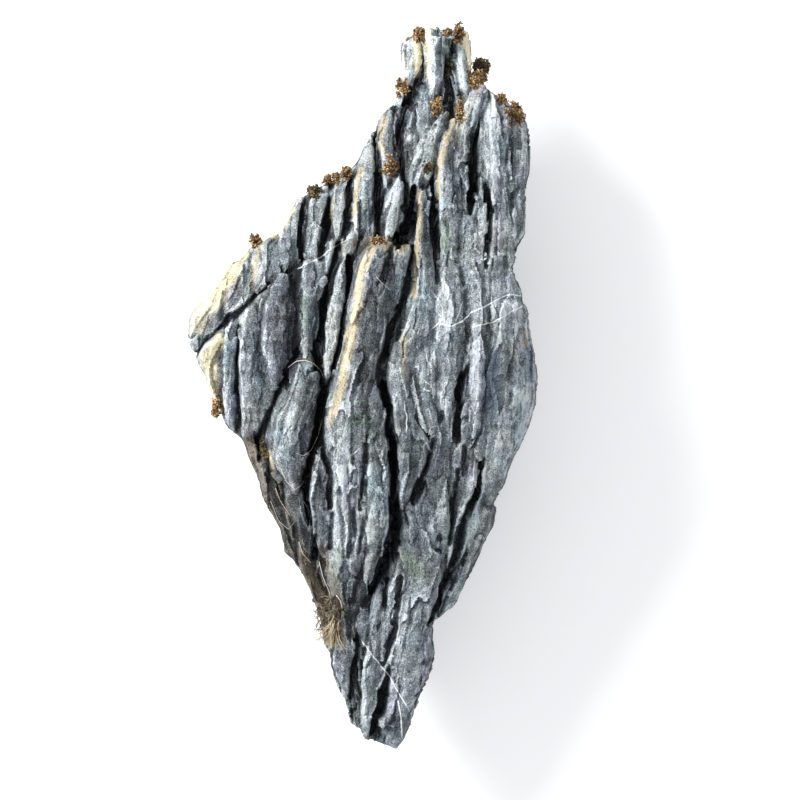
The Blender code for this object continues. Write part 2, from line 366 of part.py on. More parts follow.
# ---------------------------------------------------------------- the shards of the sides and back
GIRDLE_COLUMNS = 15             # ridges side by side, from one rim round the back to the other rim
GIRDLE_FROM = math.radians(14)  # the first and the last column lie this far above the rims
GIRDLE_SHARD_LENGTH = 180       # sheet squares
GIRDLE_LAP = 0.6                # each shard starts this far down the one before it
GIRDLE_HALF_WIDTH = 0.58        # of the space between two columns
GIRDLE_DROP = 9.0 * MM          # from a crest to its feet
GIRDLE_RISE = 5.0 * MM          # how much higher or lower one shard stands than another
GIRDLE_WALL = 18 * MM
GIRDLE_INSET = 0.97
GIRDLE_STRAY = 0.2              # of the space between two columns, that a shard strays sideways
GIRDLE_SINK = 0.5               # of the rise, by which the shards are sunk on the whole
GIRDLE_VARIETY = 0.6            # how unlike each other the drops of two flanks are
GIRDLE_CREST_STRAY = 0.5        # of the half width
GIRDLE_BREAK = 0.35             # a flank has dropped this share halfway to its foot
GIRDLE_TIP = 1 * MM             # half width left at a shard's two ends
GIRDLE_JITTER = 0.4             # of a lap or a length, that a shard starts or ends off its place
GIRDLE_STAGGER = 0.5            # of a lap, between one column and the next
GIRDLE_SHORTEST = 45            # sheet squares
GIRDLE_SEED = 200               # so that the girdle strays unlike the shards of the face
GIRDLE_TOP = 38
GIRDLE_BOTTOM = 726
SWELL = ((0, 0.2), (0.15, 0.85), (0.5, 1.0), (0.8, 0.75), (1, 0.15))

# ---------------------------------------------------------------- moss and roots
# A tuft is its name, its middle and its rooting point on the sheet, its half sizes in millimetres
# across, along and out of the stone, and its material.
TUFTS = (
    ("moss_crown_left", (419, 36), (415, 42), (3.4, 4.6, 4.0), "moss_rust"),
    ("moss_crown_middle", (448, 35), (445, 41), (1.9, 2.0, 2.4), "moss_rust"),
    ("moss_crown_right", (458, 36), (460, 42), (2.8, 5.8, 4.4), "moss_rust"),
    ("moss_crown_cleft", (448, 73), (449, 76), (3.4, 5.4, 4.6), "moss_dark"),
    ("moss_crown_sprig", (481, 67), (473, 70), (4.0, 4.4, 3.2), "moss_dark"),
    ("moss_crown_flank", (475, 83), (471, 84), (5.2, 4.8, 3.8), "moss_rust"),
    ("moss_crown_side", (402, 88), (404, 88), (2.8, 4.6, 3.2), "moss_rust"),
    ("moss_middle", (436, 110), (436, 110), (2.9, 5.8, 3.4), "moss_rust"),
    ("moss_pit", (460, 118), (460, 118), (2.2, 5.6, 3.4), "moss_rust"),
    ("moss_shoulder_small", (501, 102), (499, 104), (2.3, 3.2, 2.8), "moss_rust"),
    ("moss_shoulder", (513, 117), (512, 120), (4.8, 7.6, 4.4), "moss_rust"),
    ("moss_rib", (391, 168), (390, 168), (3.6, 5.2, 3.0), "moss_rust"),
    ("moss_recess", (426, 170), (425, 170), (2.8, 3.2, 2.8), "moss_dark"),
    ("moss_left_a", (347, 177), (347, 180), (2.6, 4.6, 3.2), "moss_rust"),
    ("moss_left_b", (337, 181), (337, 185), (2.4, 3.8, 3.0), "moss_rust"),
    ("moss_left_c", (328, 182), (327, 187), (2.2, 2.6, 2.6), "moss_rust"),
    ("moss_left_d", (316, 195), (317, 197), (3.2, 4.2, 3.2), "moss_dark"),
    ("moss_wing", (257, 244), (258, 247), (3.0, 4.2, 3.4), "moss_rust"),
    ("moss_pillar_top", (378, 244), (378, 248), (3.2, 2.4, 2.6), "moss_rust"),
    ("moss_edge", (218, 407), (219, 407), (2.6, 5.6, 2.6), "moss_rust"),
    ("moss_cleft", (267, 451), (267, 451), (2.6, 5.4, 2.6), "moss_dark"),
    ("root_mat", (331, 629), (336, 624), (9.5, 16.5, 6.0), "dried_roots"),
)

# material name: base colour, roughness
FINISHES = {
    "stone": ((0.25, 0.27, 0.30), 0.85),
    "moss_rust": ((0.33, 0.13, 0.05), 0.95),
    "moss_dark": ((0.11, 0.07, 0.035), 0.95),
    "dried_roots": ((0.46, 0.36, 0.24), 0.9),
}


# ---------------------------------------------------------------- the form of the stone
def along(table, y):
    """The value of a (y, value) table at y, on straight lines between its points."""
    if y <= table[0][0]:
        return table[0][1]
    for (y0, value0), (y1, value1) in zip(table, table[1:]):
        if y <= y1:
            return value0 + (value1 - value0) * (y - y0) / (y1 - y0)
    return table[-1][1]


def across(x, y):
    """How far x lies from the spine towards the outline: 0 on the spine, 1 on the outline."""
    spine = along(SPINE, y)
    edge = along(LEFT_EDGE, y) if x < spine else along(RIGHT_EDGE, y)
    return min(1.0, (x - spine) / (edge - spine))


def face_height(x, y):
    """Height of the face's dome above the level of the outline, in metres."""
    dome = (1 - across(x, y) ** DOME_POWER) ** (1 / DOME_POWER)
    return along(FRONT_BULGE, y) * MM * (RIM_SHARE + (1 - RIM_SHARE) * dome)


def on_sheet(x, y, z):
    """World point over sheet point (x, y) at height z."""
    return Vector(((x - SHEET_CENTRE[0]) * SQUARE, (SHEET_CENTRE[1] - y) * SQUARE, z))


def wander(y, seed, line):
    """A smooth stray value between about -1 and 1, that changes along y."""
    return WANDER_GAIN * noise.noise(Vector((y / WANDER_PERIOD, 7.31 * seed, 3.77 * line)))


def loft(mesh, rings):
    """A closed skin over rings that all have the same number of points."""
    rows = [[mesh.verts.new(point) for point in ring] for ring in rings]
    count = len(rows[0])
    for upper, lower in zip(rows, rows[1:]):
        for i in range(count):
            j = (i + 1) % count
            mesh.faces.new((upper[i], lower[i], lower[j], upper[j]))
    mesh.faces.new(rows[0])
    mesh.faces.new(rows[-1][::-1])


def ring_places(top, bottom, step):
    count = max(2, round((bottom - top) / step))
    return [top + (bottom - top) * i / count for i in range(count + 1)]


def shard_ring(section, drops, seed):
    """One cross-section of a shard: a crest with two sloping flanks over two steep walls."""
    y, left, crest, right, rise = section
    left += EDGE_WANDER * wander(y, seed, 1)
    right += EDGE_WANDER * wander(y, seed, 2)
    right = max(right, left + SHARD_NARROWEST)
    crest = max(crest + EDGE_WANDER * wander(y, seed, 3), left + CREST_CLEAR)
    crest = min(crest, right - CREST_CLEAR)
    top = rise * MM + CREST_WANDER * wander(y, seed, 4)
    heights = [face_height(x, y) + top for x in (left, crest, right)]
    heights[0] -= drops[0] * MM
    heights[2] -= drops[1] * MM
    flank_left, flank_right = ((foot_x + FLANK_BREAK * (crest - foot_x),
                                foot_z + FLANK_BREAK_RISE * (heights[1] - foot_z))
                               for foot_x, foot_z in ((left, heights[0]), (right, heights[2])))
    foot = -RIM_SHARE * along(BACK_BULGE, y) * MM * WALL_DEPTH * (1 + wander(0, seed, 5))
    outline = ((left, foot), (left, heights[0]), flank_left, (crest, heights[1]),
               flank_right, (right, heights[2]), (right, foot))
    return [on_sheet(x, y, MIDDLE + z) for x, z in outline]


def add_shard(mesh, drops, sections, seed):
    columns = [[(section[0], section[i]) for section in sections] for i in range(1, 5)]
    rings = []
    for y in ring_places(sections[0][0], sections[-1][0], FRONT_RING_STEP):
        section = (y,) + tuple(along(column, y) for column in columns)
        rings.append(shard_ring(section, drops, seed))
    loft(mesh, rings)


def section_point(y, angle, inset, front, back):
    """A point of the stone's cross-section at y. The angle is 0 at the right rim, 90 degrees in front."""
    spine = along(SPINE, y)
    out = math.copysign(abs(math.cos(angle)) ** (2 / SECTION_POWER), math.cos(angle))
    up = math.copysign(abs(math.sin(angle)) ** (2 / SECTION_POWER), math.sin(angle))
    edge = along(LEFT_EDGE, y) if out < 0 else along(RIGHT_EDGE, y)
    x = spine + inset * abs(out) * (edge - spine)
    return on_sheet(x, y, MIDDLE + up * (front if up > 0 else back))


def core_ring(y):
    """One cross-section of the body under the shards."""
    front = max(CORE_THINNEST, along(FRONT_BULGE, y) * MM - CORE_BELOW_FACE)
    back = max(CORE_THINNEST, along(BACK_BULGE, y) * MM - CORE_BELOW_BACK)
    turns = [2 * math.pi * i / CORE_RING_POINTS for i in range(CORE_RING_POINTS)]
    return [section_point(y, turn, CORE_INSET, front, back) for turn in turns]


def girdle_ring(y, angle, swell, seed):
    """One cross-section of a shard on the stone's side or back, standing square to the surface there."""
    front, back = along(FRONT_BULGE, y) * MM, along(BACK_BULGE, y) * MM
    spacing = (math.pi + 2 * GIRDLE_FROM) / GIRDLE_COLUMNS
    angle += GIRDLE_STRAY * spacing * wander(y, seed, 1)
    ahead, centre, behind = (section_point(y, angle + turn * spacing / 2, GIRDLE_INSET, front, back)
                             for turn in (1, 0, -1))
    tangent = ahead - behind
    half = GIRDLE_HALF_WIDTH * tangent.length * swell + GIRDLE_TIP
    tangent.normalize()
    outward = Vector((tangent.z, 0, -tangent.x))
    rise = GIRDLE_RISE * (wander(0, seed, 2) - GIRDLE_SINK) - GIRDLE_DROP * (1 - swell)
    rise += CREST_WANDER * wander(y, seed, 3)
    left, right = (GIRDLE_DROP * (1 + GIRDLE_VARIETY * wander(0, seed, line)) for line in (4, 5))
    crest = GIRDLE_CREST_STRAY * wander(0, seed, 6) * half
    profile = ((-half, GIRDLE_WALL), (-half, left), ((crest - half) / 2, GIRDLE_BREAK * left), (crest, 0),
               ((crest + half) / 2, GIRDLE_BREAK * right), (half, right), (half, GIRDLE_WALL))
    return [centre + side * tangent + (rise - below) * outward for side, below in profile]


def add_girdle(mesh):
    """Overlapping shards round the sides and the back, which follow the stone's lengthwise grain."""
    lap = GIRDLE_SHARD_LENGTH * GIRDLE_LAP
    rows = math.ceil((GIRDLE_BOTTOM - GIRDLE_TOP) / lap)
    for column in range(GIRDLE_COLUMNS):
        angle = GIRDLE_FROM - (math.pi + 2 * GIRDLE_FROM) * (column + 0.5) / GIRDLE_COLUMNS
        for row in range(rows):
            seed = GIRDLE_SEED + column * rows + row
            place = row + GIRDLE_JITTER * wander(0, seed, 7) - GIRDLE_STAGGER * (column % 2)
            top = GIRDLE_TOP + lap * place
            length = GIRDLE_SHARD_LENGTH * (1 + GIRDLE_JITTER * wander(0, seed, 8))
            bottom = min(top + length, GIRDLE_BOTTOM)
            top = max(top, GIRDLE_TOP)
            if bottom - top < GIRDLE_SHORTEST:
                continue
            loft(mesh, [girdle_ring(y, angle, along(SWELL, (y - top) / (bottom - top)), seed)
                        for y in ring_places(top, bottom, GIRDLE_RING_STEP)])


# ---------------------------------------------------------------- mesh helpers
def applied(obj):
    """Replaces an object's mesh by what its modifiers make of it."""
    graph = bpy.context.evaluated_depsgraph_get()
    mesh = bpy.data.meshes.new_from_object(obj.evaluated_get(graph))
    obj.modifiers.clear()
    obj.data = mesh


def largest_body(obj):
    """Removes all but the body with the most faces, such as a pocket shut in by the join."""
    mesh = bmesh.new()
    mesh.from_mesh(obj.data)
    unseen = set(mesh.faces)
    bodies = []
    while unseen:
        body = set()
        edge_of_search = [unseen.pop()]
        while edge_of_search:
            face = edge_of_search.pop()
            body.add(face)
            for edge in face.edges:
                for neighbour in edge.link_faces:
                    if neighbour in unseen:
                        unseen.remove(neighbour)
                        edge_of_search.append(neighbour)
        bodies.append(body)
    bodies.sort(key=len)
    for body in bodies[:-1]:
        bmesh.ops.delete(mesh, geom=list(body), context="FACES")
    mesh.to_mesh(obj.data)
    mesh.free()


def fuse(obj):
    """Joins everything in the object in one skin of even, fine faces."""
    add_modifier(obj, "REMESH", mode="VOXEL", voxel_size=VOXEL)
    applied(obj)


def carve_clefts(obj):
    """Sinks the broad face along every cleft."""
    mesh = obj.data
    points = np.empty(len(mesh.vertices) * 3, np.float32)
    mesh.vertices.foreach_get("co", points)
    points = points.reshape(-1, 3)
    x = points[:, 0] / SQUARE + SHEET_CENTRE[0]
    y = SHEET_CENTRE[1] - points[:, 1] / SQUARE
    depth = np.zeros(len(points))
    for deepest, route in CLEFTS:
        depth = np.maximum(depth, deepest * MM * cleft_share(x, y, route))
    in_front = np.clip((points[:, 2] - MIDDLE) / CLEFT_FADE, 0, 1)
    points[:, 2] -= depth * in_front
    mesh.vertices.foreach_set("co", points.ravel())
    mesh.update()


def cleft_share(x, y, route):
    """1 in the middle of a cleft, 0 outside its edges, for arrays of sheet points."""
    share = np.zeros(len(x))
    for (x0, y0, width0), (x1, y1, width1) in zip(route, route[1:]):
        run_x, run_y = x1 - x0, y1 - y0
        part = ((x - x0) * run_x + (y - y0) * run_y) / (run_x ** 2 + run_y ** 2)
        part = np.clip(part, 0, 1)
        away = np.hypot(x - x0 - part * run_x, y - y0 - part * run_y)
        half = (width0 + part * (width1 - width0)) / 2 + CLEFT_EASE
        share = np.maximum(share, np.clip(CLEFT_FLOOR * (1 - away / half), 0, 1))
    return share


def flute(obj):
    """Works the lengthwise flutes of the rock into its surface."""
    mesh = bmesh.new()
    mesh.from_mesh(obj.data)
    mesh.normal_update()
    for vert in mesh.verts:
        x, y, z = vert.co
        place = Vector(((x - GRAIN_LEAN * y) / GRAIN_WIDTH, y / GRAIN_LENGTH, z / GRAIN_WIDTH))
        groove = 1 - 2 * abs(noise.noise(place)) + GRAIN_FINER_SHARE * noise.noise(place * GRAIN_FINER)
        vert.co += vert.normal * GRAIN_DEPTH * (groove - GRAIN_LEVEL)
    mesh.to_mesh(obj.data)
    mesh.free()


def cut_flat(obj):
    """Cuts off what lies below the resting plane and closes the cuts."""
    mesh = bmesh.new()
    mesh.from_mesh(obj.data)
    bmesh.ops.bisect_plane(mesh, geom=list(mesh.verts) + list(mesh.edges) + list(mesh.faces),
                           plane_co=(0, 0, 0), plane_no=(0, 0, -1), clear_outer=True)
    rims = [edge for edge in mesh.edges if edge.is_boundary]
    bmesh.ops.holes_fill(mesh, edges=rims, sides=0)
    bmesh.ops.triangulate(mesh, faces=list(mesh.faces))
    bmesh.ops.recalc_face_normals(mesh, faces=list(mesh.faces))
    mesh.to_mesh(obj.data)
    mesh.free()


def new_object(name, mesh, collection):
    data = bpy.data.meshes.new(name)
    mesh.to_mesh(data)
    mesh.free()
    obj = bpy.data.objects.new(name, data)
    collection.objects.link(obj)
    return obj


def add_modifier(obj, kind, **settings):
    modifier = obj.modifiers.new(kind.title(), kind)
    for setting, value in settings.items():
        setattr(modifier, setting, value)
    return modifier


# ---------------------------------------------------------------- the pieces
def make_stone(collection):
    mesh = bmesh.new()
    loft(mesh, [core_ring(y) for y in ring_places(CORE_TOP, CORE_BOTTOM, CORE_RING_STEP)])
    for seed, (_, drop_left, drop_right, sections) in enumerate(FRONT_SHARDS):
        add_shard(mesh, (drop_left, drop_right), sections, seed)
    add_girdle(mesh)
    bmesh.ops.recalc_face_normals(mesh, faces=list(mesh.faces))
    stone = new_object("stone", mesh, collection)
    fuse(stone)
    carve_clefts(stone)
    fuse(stone)
    largest_body(stone)
    flute(stone)
    triangles = 2 * len(stone.data.polygons)
    add_modifier(stone, "DECIMATE", ratio=STONE_TRIANGLES / triangles)
    applied(stone)
    cut_flat(stone)
    largest_body(stone)
    return stone


def make_tuft(name, middle, root, half_sizes, seed, surface, cutter, collection):
    """A lumpy clump seated on the rock at its rooting point, kept clear of the rock by a cutter."""
    above = on_sheet(root[0], root[1], 1)
    hit = surface.ray_cast(above, Vector((0, 0, -1)))[0]
    centre = on_sheet(middle[0], middle[1], hit.z + half_sizes[2] * MM * (1 - 2 * TUFT_DEPTH))
    mesh = bmesh.new()
    bmesh.ops.create_icosphere(mesh, subdivisions=2, radius=1)
    for vert in mesh.verts:
        lump = 1 + TUFT_LUMP * noise.noise(vert.co * TUFT_LUMP_PITCH + Vector((seed, 0, 0)))
        vert.co = centre + Vector([lump * c * half * MM for c, half in zip(vert.co, half_sizes)])
    tuft = new_object(name, mesh, collection)
    add_modifier(tuft, "BOOLEAN", operation="DIFFERENCE", solver="MANIFOLD", object=cutter)
    applied(tuft)
    largest_body(tuft)
    return tuft


def make_cutter(stone, collection):
    """A copy of the stone, grown by the gap that keeps the tufts clear of it."""
    cutter = bpy.data.objects.new("tuft_clearance", stone.data.copy())
    collection.objects.link(cutter)
    mesh = bmesh.new()
    mesh.from_mesh(cutter.data)
    mesh.normal_update()
    for vert in mesh.verts:
        vert.co += vert.normal * TUFT_GAP * vert.calc_shell_factor()
    mesh.to_mesh(cutter.data)
    mesh.free()
    cutter.hide_render = True
    cutter.display_type = "WIRE"
    return cutter


def finish(obj, material_name):
    colour, roughness = FINISHES[material_name]
    material = bpy.data.materials.get(material_name) or bpy.data.materials.new(material_name)
    material.use_nodes = True
    shader = material.node_tree.nodes["Principled BSDF"]
    shader.inputs["Base Color"].default_value = (*colour, 1)
    shader.inputs["Roughness"].default_value = roughness
    shader.inputs["Metallic"].default_value = 0
    material.diffuse_color = (*colour, 1)
    obj.data.materials.clear()
    obj.data.materials.append(material)


def build():
    for obj in list(bpy.data.objects):
        bpy.data.objects.remove(obj)
    parts = bpy.data.collections.new("seiryu_stone")
    helpers = bpy.data.collections.new("cutters")
    for collection in (parts, helpers):
        bpy.context.scene.collection.children.link(collection)
    stone = make_stone(parts)
    finish(stone, "stone")
    surface = BVHTree.FromObject(stone, bpy.context.evaluated_depsgraph_get())
    cutter = make_cutter(stone, helpers)
    for seed, (name, middle, root, half_sizes, material) in enumerate(TUFTS):
        tuft = make_tuft(name, middle, root, half_sizes, seed, surface, cutter, parts)
        finish(tuft, material)


build()
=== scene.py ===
"""Seiryu stone, dressed: a jagged pinnacle of folded blue-grey limestone that lies on its back.

The finely broken rock, the dried moss on its crests, and the roots that cling to its lower left edge
are built around the plain solids of the frame, and take their places.

Row frame: metres, +Y along the stone to its crown, +X across it, +Z up through the broad face.
The face is set out on a sheet of half-millimetre squares, x to the right and y down.
"""

import math

import bmesh
import bpy
import numpy as np
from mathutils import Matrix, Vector, noise
from mathutils.bvhtree import BVHTree


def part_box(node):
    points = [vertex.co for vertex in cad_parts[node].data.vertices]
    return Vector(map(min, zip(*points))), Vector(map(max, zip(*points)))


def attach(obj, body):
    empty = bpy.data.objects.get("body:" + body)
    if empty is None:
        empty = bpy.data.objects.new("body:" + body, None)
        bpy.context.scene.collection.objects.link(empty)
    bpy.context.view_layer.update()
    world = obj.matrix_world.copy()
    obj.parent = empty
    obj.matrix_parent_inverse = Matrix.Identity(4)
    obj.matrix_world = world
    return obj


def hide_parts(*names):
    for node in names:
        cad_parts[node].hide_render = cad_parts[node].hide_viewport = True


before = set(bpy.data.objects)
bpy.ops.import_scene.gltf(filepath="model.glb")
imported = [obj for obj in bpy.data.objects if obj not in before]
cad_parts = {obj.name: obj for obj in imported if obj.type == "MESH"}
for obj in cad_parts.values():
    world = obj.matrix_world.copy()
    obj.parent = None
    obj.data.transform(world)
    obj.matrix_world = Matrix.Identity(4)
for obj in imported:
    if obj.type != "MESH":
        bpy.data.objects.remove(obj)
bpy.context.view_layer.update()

# ================================================================ the stone
# One piece of limestone. Harder seams stand out of it as overlapping lengthwise shards with sharp
# edges, and weather has eaten clefts between them. Its surface is fluted, chipped and pitted along
# the grain, and grey-blue, with pale crests, ochre weathering and thin veins of white calcite. Part
# of its colour is painted light and shade: the pale crests and the ochre and cream of its left edges
# are partly painted light, the dark of its grooves is partly painted shade, and the dark of its
# hollows, its right flanks and its back is painted shade.
MM = 0.001
SQUARE = 0.5 * MM
SHEET_CENTRE = (363.0, 385.3)   # the sheet point above the origin
MIDDLE = 43.5 * MM              # height of the widest outline above the table
CORE_BELOW_FACE = 5 * MM        # the body lies this far under the crests of the front shards
CORE_BELOW_BACK = 9 * MM
DOME_POWER = 3.0                # roundness of the stone across its width
RIM_SHARE = 0.3                 # the face ends this part of its bulge above the level of the outline
SECTION_POWER = 2.8             # squareness of the body's cross-section
CORE_INSET = 0.95
CORE_RING_STEP = 6              # sheet squares between two sections of the body
CORE_RING_POINTS = 18
CORE_TOP = 31                   # sheet y of the body's first and last cross-section
CORE_BOTTOM = 744
CORE_THINNEST = 2 * MM          # above and below the level of the outline
SHARD_RING_STEP = 2.5
GIRDLE_RING_STEP = 5
EDGE_WANDER = 1.1               # sheet squares a shard's edge strays from its drawn line
EDGE_CHIP = 0.4                 # and this much more where small chips have broken off
CREST_WANDER = 1.0 * MM
CREST_CHIP = 0.4                # of that again, where the crest is chipped
WANDER_PERIOD = 20              # sheet squares
CHIP_PERIOD = 4.5
WANDER_GAIN = 1.6               # brings the noise up to a span of about -1 to 1
SHARD_NARROWEST = 1             # sheet squares from foot to foot
CREST_CLEAR = 0.3               # sheet squares from a crest to either foot
WALL_DEPTH = 0.5                # a shard's walls reach about this part of the rim's depth
SKIRT = 2.4                     # sheet squares of broken rock beside the foot of a shard
SKIRT_DROP = 2.2 * MM
SHOULDER = 0.26                 # the bevel of a shard's edge, as a share of its flank
SHOULDER_RISE = 0.75
SHOULDER_VARIETY = 0.8          # how unlike each other the bevels of two edges are

# Half thickness of the stone in front of and behind its outline, in millimetres, by sheet y.
FRONT_BULGE = (
    (22, 9), (60, 14), (100, 19), (150, 25), (200, 32), (260, 39), (340, 45), (420, 45), (500, 41),
    (560, 34), (620, 27), (680, 20), (720, 14), (748, 8))
BACK_BULGE = (
    (22, 9), (60, 14), (100, 21), (150, 31), (200, 40), (260, 47), (340, 50), (430, 50), (500, 47),
    (560, 40), (620, 30), (680, 20), (720, 13), (748, 8))
# The line along which the stone is thickest, as sheet (y, x).
SPINE = (
    (22, 440), (100, 448), (180, 440), (250, 420), (330, 395), (430, 388), (550, 388), (748, 389))

# The stone's outline, as sheet (y, x), down its left side and down its right side.
LEFT_EDGE = (
    (28, 420), (34, 410), (42, 402), (50, 400), (80, 400), (92, 398), (104, 394), (110, 388),
    (116, 380), (124, 375), (134, 371), (144, 367), (153, 362), (164, 356), (169, 352), (175, 341),
    (181, 329), (188, 319), (194, 311), (197, 298), (208, 292), (218, 288), (228, 283), (234, 279),
    (239, 271), (244, 261), (250, 249), (261, 243), (264, 232), (273, 222), (287, 213), (298, 203),
    (310, 193), (320, 189), (335, 188), (346, 191), (358, 195), (366, 200), (373, 205), (385, 210),
    (400, 213), (408, 218), (416, 223), (427, 228), (433, 234), (437, 242), (443, 246), (455, 248),
    (465, 253), (480, 259), (497, 262), (510, 269), (530, 281), (551, 284), (560, 293), (570, 300),
    (580, 305), (590, 311), (603, 313), (616, 318), (632, 321), (646, 324), (652, 330), (664, 330),
    (676, 333), (690, 338), (701, 344), (715, 347), (723, 350), (728, 358), (738, 361), (743, 378),
    (747, 390))
RIGHT_EDGE = (
    (28, 466), (34, 471), (42, 473), (52, 474), (72, 472), (80, 478), (86, 486), (92, 492),
    (98, 497), (105, 507), (109, 517), (116, 525), (124, 528), (140, 530), (175, 529), (182, 527),
    (205, 526), (235, 525), (242, 521), (249, 516), (258, 517), (270, 512), (284, 517), (293, 522),
    (302, 521), (306, 527), (322, 529), (341, 531), (352, 534), (369, 536), (384, 538), (399, 537),
    (409, 534), (430, 528), (445, 522), (459, 512), (475, 508), (489, 502), (501, 494), (511, 497),
    (525, 494), (536, 487), (550, 482), (562, 477), (576, 470), (595, 460), (606, 455), (610, 446),
    (617, 440), (622, 429), (640, 433), (653, 435), (670, 433), (681, 428), (693, 421), (703, 418),
    (715, 414), (728, 408), (739, 405), (746, 399))

# ---------------------------------------------------------------- the shards of the broad face
# A shard is a name, how far in millimetres its left and right foot lie below its crest, and its
# sections from top to bottom. A section is y, left foot, crest, right foot, and how far in
# millimetres the crest stands above (or below) the dome of the face.
CROWN_SHARDS = (
    ("finger left", 4, 5, ((35, 410, 413, 418, -3), (42, 403, 411, 421, 0), (60, 400, 411, 421, 2),
        (80, 400, 410, 419, 2), (96, 398, 404, 411, 0), (108, 393, 399, 404, -4))),
    ("finger middle", 4, 4, ((29, 425, 429, 435, -2), (38, 424, 431, 446, 1),
        (60, 426, 433, 447, 2), (80, 426, 433, 445, 1), (96, 427, 432, 441, 0),
        (108, 427, 430, 436, -4))),
    ("finger right", 4, 5, ((29, 459, 464, 469, -2), (38, 456, 462, 473, 0), (60, 455, 463, 474, 1),
        (80, 457, 464, 474, 0), (94, 460, 466, 472, -1), (108, 463, 466, 470, -5))),
    ("crown inner face", 3, 5, ((78, 408, 412, 421, -4), (96, 406, 411, 421, -5),
        (114, 409, 413, 418, -9))),
    ("crown rib", 4, 4, ((84, 413, 421, 430, -3), (100, 412, 424, 441, -1), (120, 414, 428, 442, 0),
        (140, 416, 427, 437, 0), (153, 419, 426, 433, -4))),
    ("crown knob", 3, 4, ((131, 406, 411, 417, -6), (142, 404, 411, 420, -3),
        (153, 406, 411, 418, -7))),
    ("slant rib", 4, 5, ((115, 440, 444, 447, -2), (130, 427, 437, 447, 1), (150, 415, 427, 438, 2),
        (166, 413, 424, 437, 2), (180, 412, 420, 431, 0), (194, 412, 416, 423, -5))),
    ("cream ridge", 5, 4, ((122, 448, 452, 457, 0), (145, 440, 446, 455, 3),
        (166, 436, 441, 453, 3), (188, 437, 442, 453, 2), (215, 438, 444, 456, 0),
        (245, 437, 447, 458, -1), (268, 439, 448, 458, -2), (282, 443, 449, 455, -5))),
    ("pink ridge", 5, 5, ((83, 475, 480, 486, -1), (100, 466, 474, 483, 1), (120, 458, 466, 478, 2),
        (140, 451, 459, 467, 2), (165, 449, 457, 466, 1), (195, 452, 460, 469, 0),
        (220, 455, 462, 468, -2), (240, 457, 461, 465, -6))),
    ("crown mass", 5, 2, ((91, 486, 493, 497, -3), (104, 482, 494, 511, 1), (125, 480, 492, 510, 3),
        (150, 481, 493, 509, 3), (180, 482, 495, 509, 2), (205, 488, 499, 509, 1),
        (235, 491, 502, 511, 0), (262, 492, 501, 509, -2), (275, 496, 501, 506, -6))),
    ("crown rim", 2, 7, ((103, 505, 512, 518, -3), (115, 512, 520, 527, -1),
        (140, 514, 522, 530, 1), (175, 513, 521, 529, 1), (200, 512, 519, 526, 0),
        (236, 511, 517, 524, -1), (252, 508, 513, 517, -4))),
    ("pit floor", 2, 2, ((186, 469, 474, 482, -6), (212, 465, 474, 484, -1),
        (240, 462, 474, 486, 0), (262, 461, 473, 492, 0), (285, 464, 474, 488, -2),
        (300, 468, 474, 480, -6))),
)
UPPER_SHARDS = (
    ("rib i", 5, 5, ((108, 388, 392, 396, -3), (118, 380, 388, 397, 0), (140, 377, 386, 397, 1),
        (160, 380, 387, 395, 1), (180, 382, 388, 393, -1), (191, 384, 387, 390, -5))),
    ("rib j", 4, 5, ((132, 369, 372, 375, -2), (150, 361, 367, 373, 0), (170, 357, 365, 374, 1),
        (190, 354, 364, 375, 1), (215, 353, 362, 374, 0), (242, 352, 360, 368, -4))),
    ("rib k", 4, 4, ((171, 343, 348, 353, -2), (186, 336, 345, 351, 0), (205, 332, 342, 350, 1),
        (220, 330, 341, 348, 1), (235, 333, 340, 345, -1), (247, 335, 338, 341, -5))),
    ("rib l", 4, 4, ((184, 320, 325, 330, -2), (198, 309, 320, 330, 0), (215, 306, 318, 328, 1),
        (235, 306, 317, 325, 1), (255, 307, 315, 322, -1), (269, 309, 313, 318, -5))),
    ("dark rib", 4, 3, ((199, 295, 299, 303, -2), (215, 289, 295, 303, -1),
        (240, 284, 293, 304, -1), (262, 283, 291, 302, -2), (277, 285, 289, 295, -6))),
    ("leaf flake", 4, 5, ((177, 398, 401, 403, -2), (190, 391, 398, 404, 2),
        (205, 385, 396, 402, 3), (222, 384, 393, 400, 2), (238, 384, 389, 396, 0),
        (250, 385, 387, 389, -6))),
    ("leaf flake lobe", 2, 4, ((208, 402, 405, 407, -4), (222, 400, 404, 408, -1),
        (237, 401, 404, 407, -4))),
    ("recess wall", 3, 3, ((146, 405, 411, 414, -9), (180, 407, 412, 417, -8),
        (215, 407, 412, 416, -9), (246, 408, 412, 415, -12))),
    ("long rib", 5, 6, ((188, 420, 424, 429, -3), (204, 417, 421, 430, 2), (230, 416, 421, 430, 3),
        (250, 413, 419, 431, 3), (280, 416, 422, 433, 3), (300, 411, 419, 435, 3),
        (325, 404, 414, 432, 3), (345, 398, 409, 426, 3), (362, 394, 404, 418, 2),
        (380, 394, 402, 412, -2))),
    ("half block", 3, 5, ((247, 394, 401, 411, 2), (256, 392, 401, 413, 4), (276, 391, 400, 409, 4),
        (296, 391, 397, 405, 2), (313, 390, 394, 400, -3))),
    ("sliver", 3, 4, ((334, 384, 386, 389, -2), (352, 381, 384, 389, 1), (370, 381, 385, 391, 0),
        (396, 386, 390, 394, -5))),
    ("step shards", 3, 4, ((225, 350, 354, 358, -3), (240, 343, 350, 357, -1),
        (256, 342, 348, 354, -2), (269, 343, 347, 351, -5))),
    ("brow", 3, 3, ((214, 377, 380, 383, -6), (232, 366, 374, 384, -4), (246, 360, 374, 388, -4),
        (258, 358, 366, 380, -6))),
)
